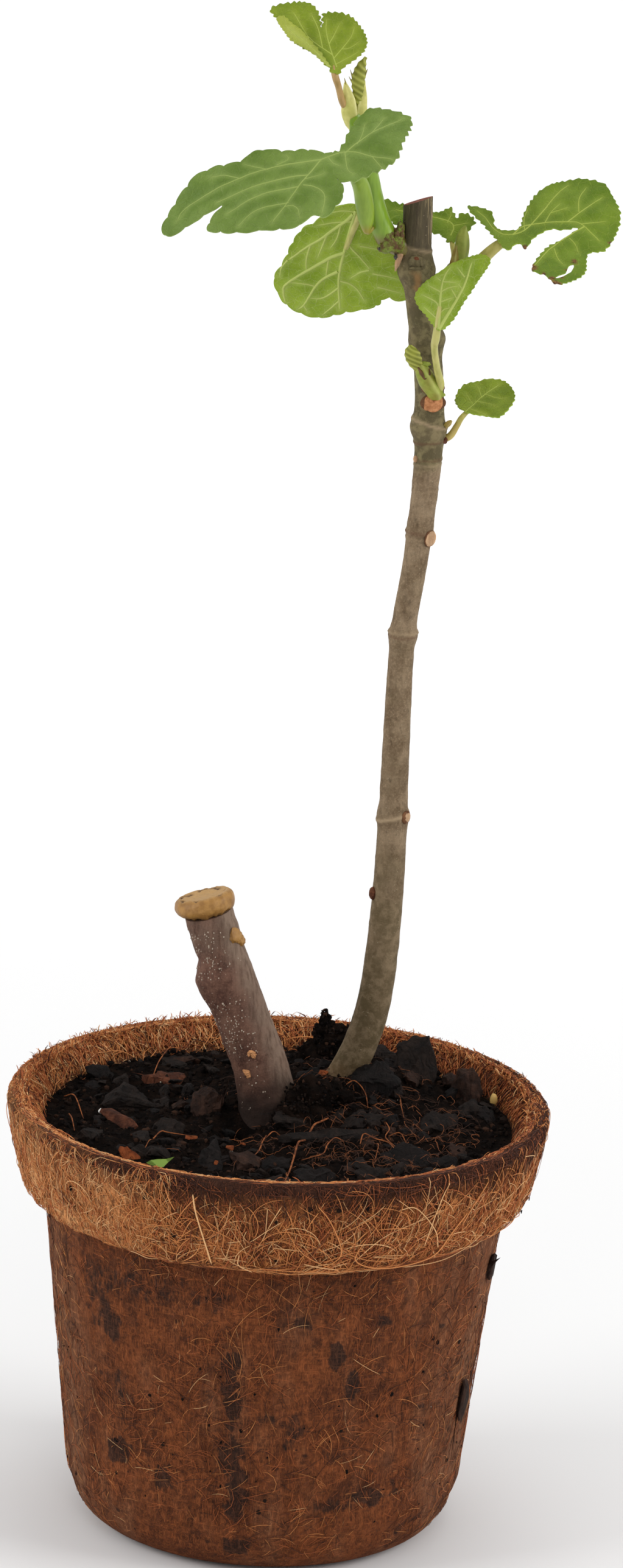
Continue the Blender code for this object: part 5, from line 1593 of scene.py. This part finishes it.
def leaf_set():
    deep = [DEEP_TOP, DEEP_UNDER, STALK, UPPER_VEIN]
    fresh = [FRESH_TOP, YOUNG_UNDER, OCHRE_STALK, FRESH_VEIN]
    young = [YOUNG_TOP, PALE_UNDER, ROSY_STALK, FRESH_VEIN]
    small = [YOUNG_TOP, YOUNG_UNDER, OCHRE_STALK, FRESH_VEIN]
    under = [FRESH_TOP, YOUNG_UNDER, PALE_STALK, UNDER_VEIN]
    return [
        Leaf("top_leaf", (2.9, 8, 411.1), (-0.1, -0.75, 0.65), (-0.31, 0.65, 0.70), finishes=young,
            bend=(0.5, 4, 0.5), teeth=(1.9, 0.8, 0.72),
            stalk=[(9.4, 15, 395.6, 0.9), (7.8, 14.6, 397.6, 1), (6.4, 13.6, 399.6, 1),
                (4.9, 11.4, 402.4, 0.95), (3.8, 9.6, 406.4, 0.9), (2.6, 8.3, 410.2, 0.95)],
            outline=[(6, 3.5), (11.5, 8), (19, 10.5), (23.5, 11.5), (24, 4.5), (22, 0.5), (18.5, -0.5),
                (15, 0), (15, -0.5), (18.5, -2), (16.5, -7), (12.5, -9.5), (6.5, -10.5), (3, -8.5),
                (0.5, -2.5), (-1, 0.5)],
            veins=[[(1, -0.5), (8.5, -0.5), (13.5, -1), (16.5, -2)], [(4, -0.5), (8.5, -6.5), (11.5, -8.5)],
                [(2, -0.5), (3.5, -7.5)], [(5, -0.5), (12, 4), (21, 6)], [(8.5, -0.5), (14, -5)],
                [(6, -3.5), (5.5, -5.5), (6.5, -8.5)], [(8, 1.5), (14, 1), (19, 1.5)]]),
        Leaf("top_leaf_fold", (2.9, 8, 411.1), (-0.1, -0.75, 0.65), (-0.31, 0.65, 0.70), nodes=(),
            stalk=[], finishes=[PALE_UNDER, PALE_UNDER, ROSY_STALK, FRESH_VEIN], bend=(0.5, 4, 0.5),
            teeth=(1.7, 0.5, 0.72), lift=0.75,
            outline=[(1, 1), (3, 2.5), (6, 4), (9, 6.5), (12, 9), (15, 10), (19.5, 11), (20, 9),
                (17.5, 7.5), (14.5, 5.5), (10.5, 4), (6.5, 2.5), (3, 1.5)],
            veins=[[(1.5, 1.5), (6.5, 3.5), (16, 8.5)]]),
        Leaf("wide_leaf", (-1.2, -5, 389.2), (-0.12, -0.66, 0.74), (-0.47, -0.62, -0.63), finishes=deep,
            bend=(2, -1.5, 0.8), blush=0.4,
            teeth=lambda u, v: (3.2, 1, 0.75) if v > 2.5 and u < 4 else (5.5, 0.8, 0.5),
            stalk=[(15, 15.6, 367.4, 0.6), (13.8, 13.6, 366.4, 0.7), (13.1, 12.6, 367, 1.1),
                (12.9, 12, 369.8, 2.1), (12.3, 11.2, 374, 2.5), (10.8, 8.8, 380.4, 2.3),
                (7.4, 2.8, 386, 1.8), (1, -3.4, 388.4, 1.2)],
            outline=[(-1.5, -3.5), (2, -11.5), (4, -16), (9, -19.5), (14, -27.5), (20.5, -30.5),
                (30.5, -31.5), (32.5, -28), (26, -21.5), (21.5, -17.5), (27.5, -18.5), (29, -16.5),
                (27.5, -9), (24.5, -1), (21, 5.5), (16, 8), (15, 11), (9.5, 12), (5.5, 11.5), (3, 8.5),
                (3.5, 6.5), (2, 12), (-3.5, 15.5), (-10, 18.5), (-16, 17.5), (-24, 15.5), (-25, 11),
                (-23, 3.5), (-15.5, 2.5), (-5, 3.5)],
            veins=[[(-0.5, 1), (10.5, -14), (24, -27), (28.5, -28)], [(-0.5, 1), (22.5, -1)],
                [(5.5, 0.5), (11.5, -8.5), (21.5, -19.5)], [(7, 0.5), (3, 4)],
                [(10, 0), (13, -5), (17, -9.5), (23.5, -15)],
                [(9, 1), (8, 3.5), (8, 6), (9.5, 8), (14.5, 10)], [(15, 0), (20.5, -7.5), (26, -10)],
                [(16.5, -0.5), (15.5, 1.5), (16, 3.5), (18, 5)], [(8, -10.5), (9, -17.5)],
                [(13, -16.5), (13.5, -21), (15, -25)], [(6, -9), (3, -7), (2, -8.5)],
                [(-0.5, 1), (-5, 4.5), (-7, 7.5), (-8, 12.5), (-10, 18)],
                [(-5.5, 5.5), (-15, 8.5), (-23.5, 13)], [(-9.5, 7), (-13, 6.5), (-17, 5)],
                [(-15, 8.5), (-21.5, 8.5)], [(-5.5, 5.5), (-1, 9), (-0.5, 11)], [(-8, 12.5), (-6, 17)],
                [(-2, 2.5), (-1, 4.5), (-1, 7)]]),
        Leaf("hanging_leaf", (10, 23, 369.9), (0.05, 0.86, 0.5), (-0.07, 0.50, -0.86), finishes=under,
            under=True, bend=(0.5, 0.6, 0.5), teeth=(4.8, 0.7, 0.5),
            stalk=[(16.6, 19, 369.6, 1.4), (14.4, 22.2, 371.4, 1.5), (11.8, 23, 371, 1.4)],
            outline=[(-1.5, 3.5), (5.5, 10), (11, 14.5), (22, 17.5), (30, 19.5), (37.5, 16), (41, 8),
                (37.5, 0), (33, -8.5), (29, -11.5), (29, -17), (23, -20.5), (15, -19.5), (8.5, -13),
                (-0.5, -4.5)],
            veins=[[(-0.5, 0), (22.5, 2), (36, 0.5)], [(0, 0), (0.5, 4), (2.5, 8)],
                [(1, 0.5), (5.5, 3.5), (21, 16.5)], [(3.5, 0.5), (7, 10)],
                [(15.5, 1.5), (18.5, 5.5), (29.5, 15.5), (33.5, 16.5), (37.5, 15.5)],
                [(22.5, 2.5), (25.5, 5.5), (29.5, 8), (37, 10.5), (39, 12)], [(33, 1), (39, 5)],
                [(26, 1.5), (26.5, -1.5), (28.5, -4), (31.5, -6)], [(12.5, 0.5), (20, -6.5)],
                [(21, 16.5), (24.5, 18), (28, 18)], [(37, 10.5), (39.5, 9)],
                [(20, -6), (21.5, -3.5), (24.5, -1)], [(12, -2.5), (12.5, -9)], [(21, -7), (21.5, -15)],
                [(25.5, -9), (26.5, -16)], [(5.5, 3.5), (10.5, 4), (14.5, 5.5)], [(10, 7), (19, 8.5)],
                [(18.5, 5.5), (25.5, 5.5)], [(14.5, 11), (20, 11.5), (24.5, 11)],
                [(29.5, 8), (29, 11), (29.5, 15.5)], [(28.5, 1.5), (33, 5.5), (34, 9.5)]]),
        Leaf("right_leaf", (50.6, 14, 366.1), (-0.1, -0.62, 0.78), (0.95, 0.17, 0.26), finishes=fresh,
            bend=(2, 0.8, 0.8), teeth=(2.3, 0.6, 0.76),
            stalk=[(36.4, 20.8, 353.4, 1.4), (40.4, 19.2, 355, 1.7), (44.4, 16.8, 359, 1.7),
                (48.4, 14.9, 363.4, 1.5)],
            outline=[(-1, 4), (-1, 10), (-6.5, 13.5), (-4, 6), (-2, 0), (-0.5, -4.5), (3, -3), (4.5, -5.5),
                (7.5, -2.5), (12.5, -0.5), (16.5, -1.5), (20.5, -1.5), (15.5, -4.5), (10, -6.5), (4, -13),
                (7, -16.5), (9, -20.5), (14.5, -19), (18, -16.5), (20.5, -10.5), (25, -10), (29.5, -5.5),
                (33, 1), (32.5, 8), (31, 12), (23.5, 15), (14.5, 13.5), (8, 7.5), (4.5, 2)],
            holes=[[(9, -18), (10.5, -17), (12.5, -16.5), (14, -14), (15.5, -13), (15.5, -14.5),
                (14, -16.5), (12, -17.5), (9.5, -18.5)]],
            burnt=[(4.3, -12.7, 1.6), (15.9, -12.6, 1.1), (8.8, -20.4, 1.5), (8.3, -18.2, 1.1),
                (4.3, -5.2, 1.2), (11, -17.9, 0.9), (13.6, -15.6, 0.8), (6.6, -16, 0.9), (27.6, -7.6, 0.7)],
            veins=[[(2.5, 0.5), (7, 2.5), (18, 1), (21.5, -0.5), (25, -7)],
                [(2.5, 0.5), (6, 1), (12, 5.5), (18, 11), (22, 13.5)], [(18, 1), (30, 7.5)],
                [(12, 2), (14.5, 5), (18, 7.5)], [(22, -1.5), (11.5, -6.5), (5, -12)],
                [(21.5, -0.5), (28.5, -0.5)], [(6, 1), (7, 5), (9, 8)], [(17, -4.5), (18, -7), (18, -10)],
                [(2.5, 0.5), (0, 1.5), (-2, 4.5), (-3, 8.5), (-4.5, 11.5)],
                [(22, 3.5), (23.5, 8), (26.5, 11.5)], [(14.5, 5), (19.5, 5.5)],
                [(12, -7), (12, -10.5), (13, -13.5)]]),
        Leaf("front_leaf", (34, 4, 342.3), (0.25, 0.85, -0.4), (0.56, 0.21, 0.80), finishes=under,
            under=True, bend=(0, 5, 0.4), teeth=(1.6, 0.42, 0.78),
            stalk=[(34.6, 16.2, 322.4, 1.2), (35.2, 13.6, 325, 1.15), (34, 10, 330.4, 0.95),
                (33, 6.6, 336.6, 0.95), (33.3, 4.9, 340.2, 1.1)],
            outline=[(0, -2.5), (1, -5.5), (1.5, -8.5), (3.5, -12), (8, -12), (13, -10), (17.5, -8),
                (23, -3.5), (23, 0), (16, 0.5), (9.5, 1), (4, 1.5), (0, 0.5)],
            veins=[[(0, 0), (8.5, -6), (13, -8), (15.5, -8)], [(0, 0), (12.5, -1.5), (20, -4)],
                [(4.5, -3), (5.5, -5.5), (5, -10)], [(8.5, -6), (8, -10.5)], [(2, -1.5), (2.5, -7.5)],
                [(11, -8), (11, -9.5)], [(6, -4.5), (9.5, -2)], [(8.5, -6), (10.5, -5), (12.5, -3)],
                [(11, -7.5), (13, -4)], [(12.5, -1.5), (13, -3.5)], [(15.5, -3), (16.5, -6.5)],
                [(9.5, -1), (11, -4.5)], [(4, -2.5), (5.5, -2), (7, -0.5)]]),
        Leaf("small_leaf", (42.5, 19, 316.1), (-0.05, -0.45, 0.9), (0.85, 0.46, 0.27), finishes=small,
            bend=(0.5, 3, 0.4), teeth=(1.9, 0.55, 0.78), blush=0.25,
            stalk=[(35.4, 20, 307.4, 1), (38.6, 19.7, 309, 1), (40.4, 19.2, 312.1, 0.85),
                (41.9, 19.1, 314.9, 0.75)],
            outline=[(-0.5, 2.5), (0.5, 6), (5, 9), (12, 8), (16, 5), (15.5, -0.5), (12, -4.5), (6.5, -7),
                (4, -4.5), (1, -1.5)],
            veins=[[(0, 0), (8.5, 3.5), (14, 5)], [(4.5, 2.5), (7, 0), (8.5, -2.5)], [(3.5, 2), (4, 6)],
                [(8.5, 3.5), (10.5, 1), (12.5, -0.5)], [(7, 3), (8.5, 7.5)], [(1.5, 1), (4.5, -4.5)]]),
        Leaf("back_leaf", (36.5, 29, 362.4), (0, -0.8, 0.6), (-0.92, 0.24, 0.32), finishes=fresh,
            bend=(0.5, 2, 0.6), teeth=(2, 1, 0.7),
            stalk=[(37.4, 21.6, 354, 0.9), (37.8, 25, 355.4, 0.9), (37.4, 27.2, 358.6, 0.8),
                (36.8, 28.6, 361.2, 0.7)],
            outline=[(3, 0.5), (8.5, 2), (16.5, 3), (21.5, -2), (18, -3), (11.5, -4), (6.5, -5.5), (4, -8),
                (1.5, -6), (0, -8), (-3.5, -7.5), (-3.5, -4.5), (-2, -0.5), (0, 1.5)],
            veins=[[(0.5, -0.5), (1, -3.5), (5, -4), (17.5, -1)], [(3, -3.5), (3, -6.5), (3.5, -7)],
                [(1, -3.5), (-2.5, -6)]]),
    ]


# ---------------------------------------------------------------- buds
def scale_of(path, keel, brown=0, flat=0.75, finish=0):
    """A pale pointed bud scale with a raised keel down its front."""
    def skin(angle, z, at):
        ridge = 0.32 * hump(angle, keel, 0.3) - 0.12 * hump(angle, keel - 0.7, 0.3)
        return ridge + 0.08 * noise.noise(at * 0.7)

    marks = {"rib": lambda a, z, at: 0.8 * hump(a, keel, 0.22),
             "brown": lambda a, z, at: brown * (0.5 + noise.noise(at * 0.5))}
    return limb(path, 0.35, 40, skin, marks, flat, finish)


def pleated(path, pitch, slant, depth):
    """A young leaf still folded in pleats: ribs that slant across a flattened blade."""
    def rib(angle, z, at):
        return 0.5 + 0.5 * math.sin(TURN * z / pitch + slant * math.cos(angle) * 3)

    marks = {"rib": lambda a, z, at: rib(a, z, at) ** 2, "brown": lambda a, z, at: 0}
    return limb(path, 0.22, 48, lambda a, z, at: depth * (rib(a, z, at) - 0.5), marks, 0.6, 1)


def spike(foot, tip):
    """A fine pointed tooth."""
    marks = {"rib": lambda a, z, at: 0.3, "brown": lambda a, z, at: 0.3}
    return limb([(*foot, 0.34), (*tip, 0.06)], 0.4, 8, marks=marks, finish=1)


def build_buds():
    top = [scale_of([(8.6, 13.4, 394.4, 1.3), (7.6, 13.1, 396.6, 1.9), (6.9, 12.8, 399.2, 2.05),
                     (6.6, 12.6, 402.4, 1.75), (5.9, 12.4, 405.4, 0.95), (5.4, 12.3, 407.3, 0.2)], -0.45),
           scale_of([(10.2, 13.8, 394.6, 1.3), (10.2, 13.7, 397, 1.6), (10.3, 13.6, 400, 1.5),
                     (10.4, 13.4, 403.6, 1.15), (10.5, 13.2, 405.8, 0.75), (10.7, 13.2, 408, 0.2)], -2.2),
           pleated([(9.6, 13.2, 400.6, 0.9), (9.2, 13, 404.4, 1.5), (9, 12.8, 408, 1.85),
                    (9.4, 12.8, 410.8, 1.6), (10, 12.9, 412.8, 1), (10.8, 13, 414.4, 0.3)],
                   1.7, 1.3, 0.22)]
    top += [spike(*ends) for ends in (
        ((7.9, 12.7, 406.6), (6.4, 12.5, 409)), ((7.7, 12.7, 408), (6.7, 12.5, 410.9)),
        ((5.9, 12.4, 406.4), (5.2, 12.2, 408.6)), ((10.6, 13, 409), (11.4, 12.9, 411.2)))]
    right = [scale_of([(38.8, 21.4, 355.4, 1.2), (39.2, 21.4, 358.4, 1.85), (39.4, 21.4, 361.8, 2.05),
                       (39.5, 21.4, 364.7, 1.7), (39.8, 21.4, 366.6, 0.9), (40.1, 21.4, 367.6, 0.2)],
                      -1.2, 0.15, finish=2),
             scale_of([(37.7, 20.6, 354, 1.2), (37.5, 20.5, 356.6, 1.3), (37.7, 20.5, 359.4, 1),
                       (37.9, 20.7, 361.4, 0.6), (38, 20.8, 362.8, 0.15)], -1.5, 0.6, finish=3)]
    side = [scale_of([(34, 16.4, 321.2, 2.2), (33.6, 15.2, 322.8, 2.4), (32.2, 13.9, 324.9, 2.55),
                      (31, 13, 327, 2.4), (29.9, 12.5, 329, 1.9), (29.2, 12.4, 330.4, 0.9)],
                     -1, 0.35, 0.9, 2),
            pleated([(29.8, 12.4, 328.6, 0.8), (28.6, 12.2, 330.2, 1.7), (27.4, 12, 332.6, 2.15),
                     (26.7, 12, 334.4, 1.7), (26.5, 12.1, 335.8, 0.4)], 1.5, 1.5, 0.2),
            lump((30.9, 12.4, 330.6), (1.3, 0.8, 0.8), 0.35, 2, finish=2),
            lump((34.2, 15.9, 321.4), (2.4, 1.6, 0.9), 0.25, 4, finish=2)]
    side += [limb(path, 0.3, 12, lambda a, z, at: 0.15 * noise.noise(at * 1.5), finish=4) for path in (
        [(28.8, 11.5, 330, 0.15), (29.9, 10.9, 328.4, 0.55), (30.9, 11.1, 326.6, 0.2)],
        [(30.9, 11.1, 326.6, 0.2), (31.9, 11.3, 327.9, 0.5), (32, 11.9, 329.6, 0.15)])]
    for name, parts in (("top_bud", top), ("right_bud", right), ("side_bud", side)):
        piece(name + "_grown", joined(parts), BUD, "bud", name, smooth=50)
    tiny = scale_of([(37.4, 18.2, 312.2, 0.8), (38.2, 17.6, 313.2, 0.8), (38.9, 17.4, 313.9, 0.3)],
                    -1.5, 0.5, finish=3)
    piece("tiny_bud", joined([tiny]), BUD, "bud", smooth=50)


# ---------------------------------------------------------------- floor, light and camera
WHITE = (1, 1, 1, 1)


def place_new(name, data):
    made = bpy.data.objects.new(name, data)
    bpy.context.scene.collection.objects.link(made)
    return made


def build_floor():
    """A pale floor that glows white far behind the pot."""
    bm = bmesh.new()
    bmesh.ops.create_grid(bm, x_segments=4, y_segments=4, size=3)
    floor = place_new("floor", bpy.data.meshes.new("floor"))
    bm.to_mesh(floor.data)
    bm.free()
    floor.location.z = -0.0004
    f = Finish("floor_paint", 0.9, 0.1)
    f.shader["Base Color"].default_value = paint((247, 247, 247))
    f.shader["Emission Color"].default_value = WHITE
    depth = f.node('SeparateXYZ', {0: f.place})[1]
    f.tree.links.new(f.times(f.between(depth, 100, 1500), 0.5), f.shader["Emission Strength"])
    floor.data.materials.append(f.made)


def build_studio():
    scene = bpy.context.scene
    scene.view_settings.view_transform = 'Standard'
    world = bpy.data.worlds.new("studio")
    world.use_nodes = True
    sky = world.node_tree.nodes["Background"].inputs
    sky[0].default_value, sky[1].default_value = WHITE, 0.55
    scene.world = world
    for name, at, size, power in (
            ("left", (-1.5, -0.5, 0.95), 0.9, 13), ("right", (1.5, -0.4, 0.95), 0.9, 14),
            ("top", (0.1, 0.3, 1.7), 0.8, 4), ("front", (0.2, -1.7, 1.2), 0.5, 2)):
        light = bpy.data.lights.new(name, 'AREA')
        light.energy, light.size = power, size
        holder = place_new(name, light)
        holder.location = at
        holder.rotation_euler = (Vector((0, 0, 0.2)) - Vector(at)).to_track_quat('-Z', 'Y').to_euler()
    eye, target, roll = Vector((0, -2, 0.7886)), Vector((0.0051, 0, 0.2137)), 0.0460
    ahead = (target - eye).normalized()
    right = ahead.cross(Vector((0, 0, 1))).normalized()
    up = right.cross(ahead)
    across = right * math.cos(roll) + up * math.sin(roll)
    aloft = up * math.cos(roll) - right * math.sin(roll)
    camera = scene.camera = place_new("camera", bpy.data.cameras.new("camera"))
    camera.data.sensor_width = 36
    camera.data.lens = 12417.1 / 2576 * 36
    camera.data.clip_start, camera.data.clip_end = 0.1, 20
    camera.matrix_world = Matrix.Translation(eye) @ Matrix((across, aloft, -ahead)).transposed().to_4x4()


for build in (build_wall, build_collar, build_fibres, build_rim, build_loose, build_mix, build_crumbs,
              build_grit, build_roots, build_scraps, build_wall_chips, build_stump, build_wax, build_cane,
              build_cane_marks, build_shoots):
    build()
for grown in leaf_set():
    build_leaf(grown)
build_buds()
build_floor()
build_studio()
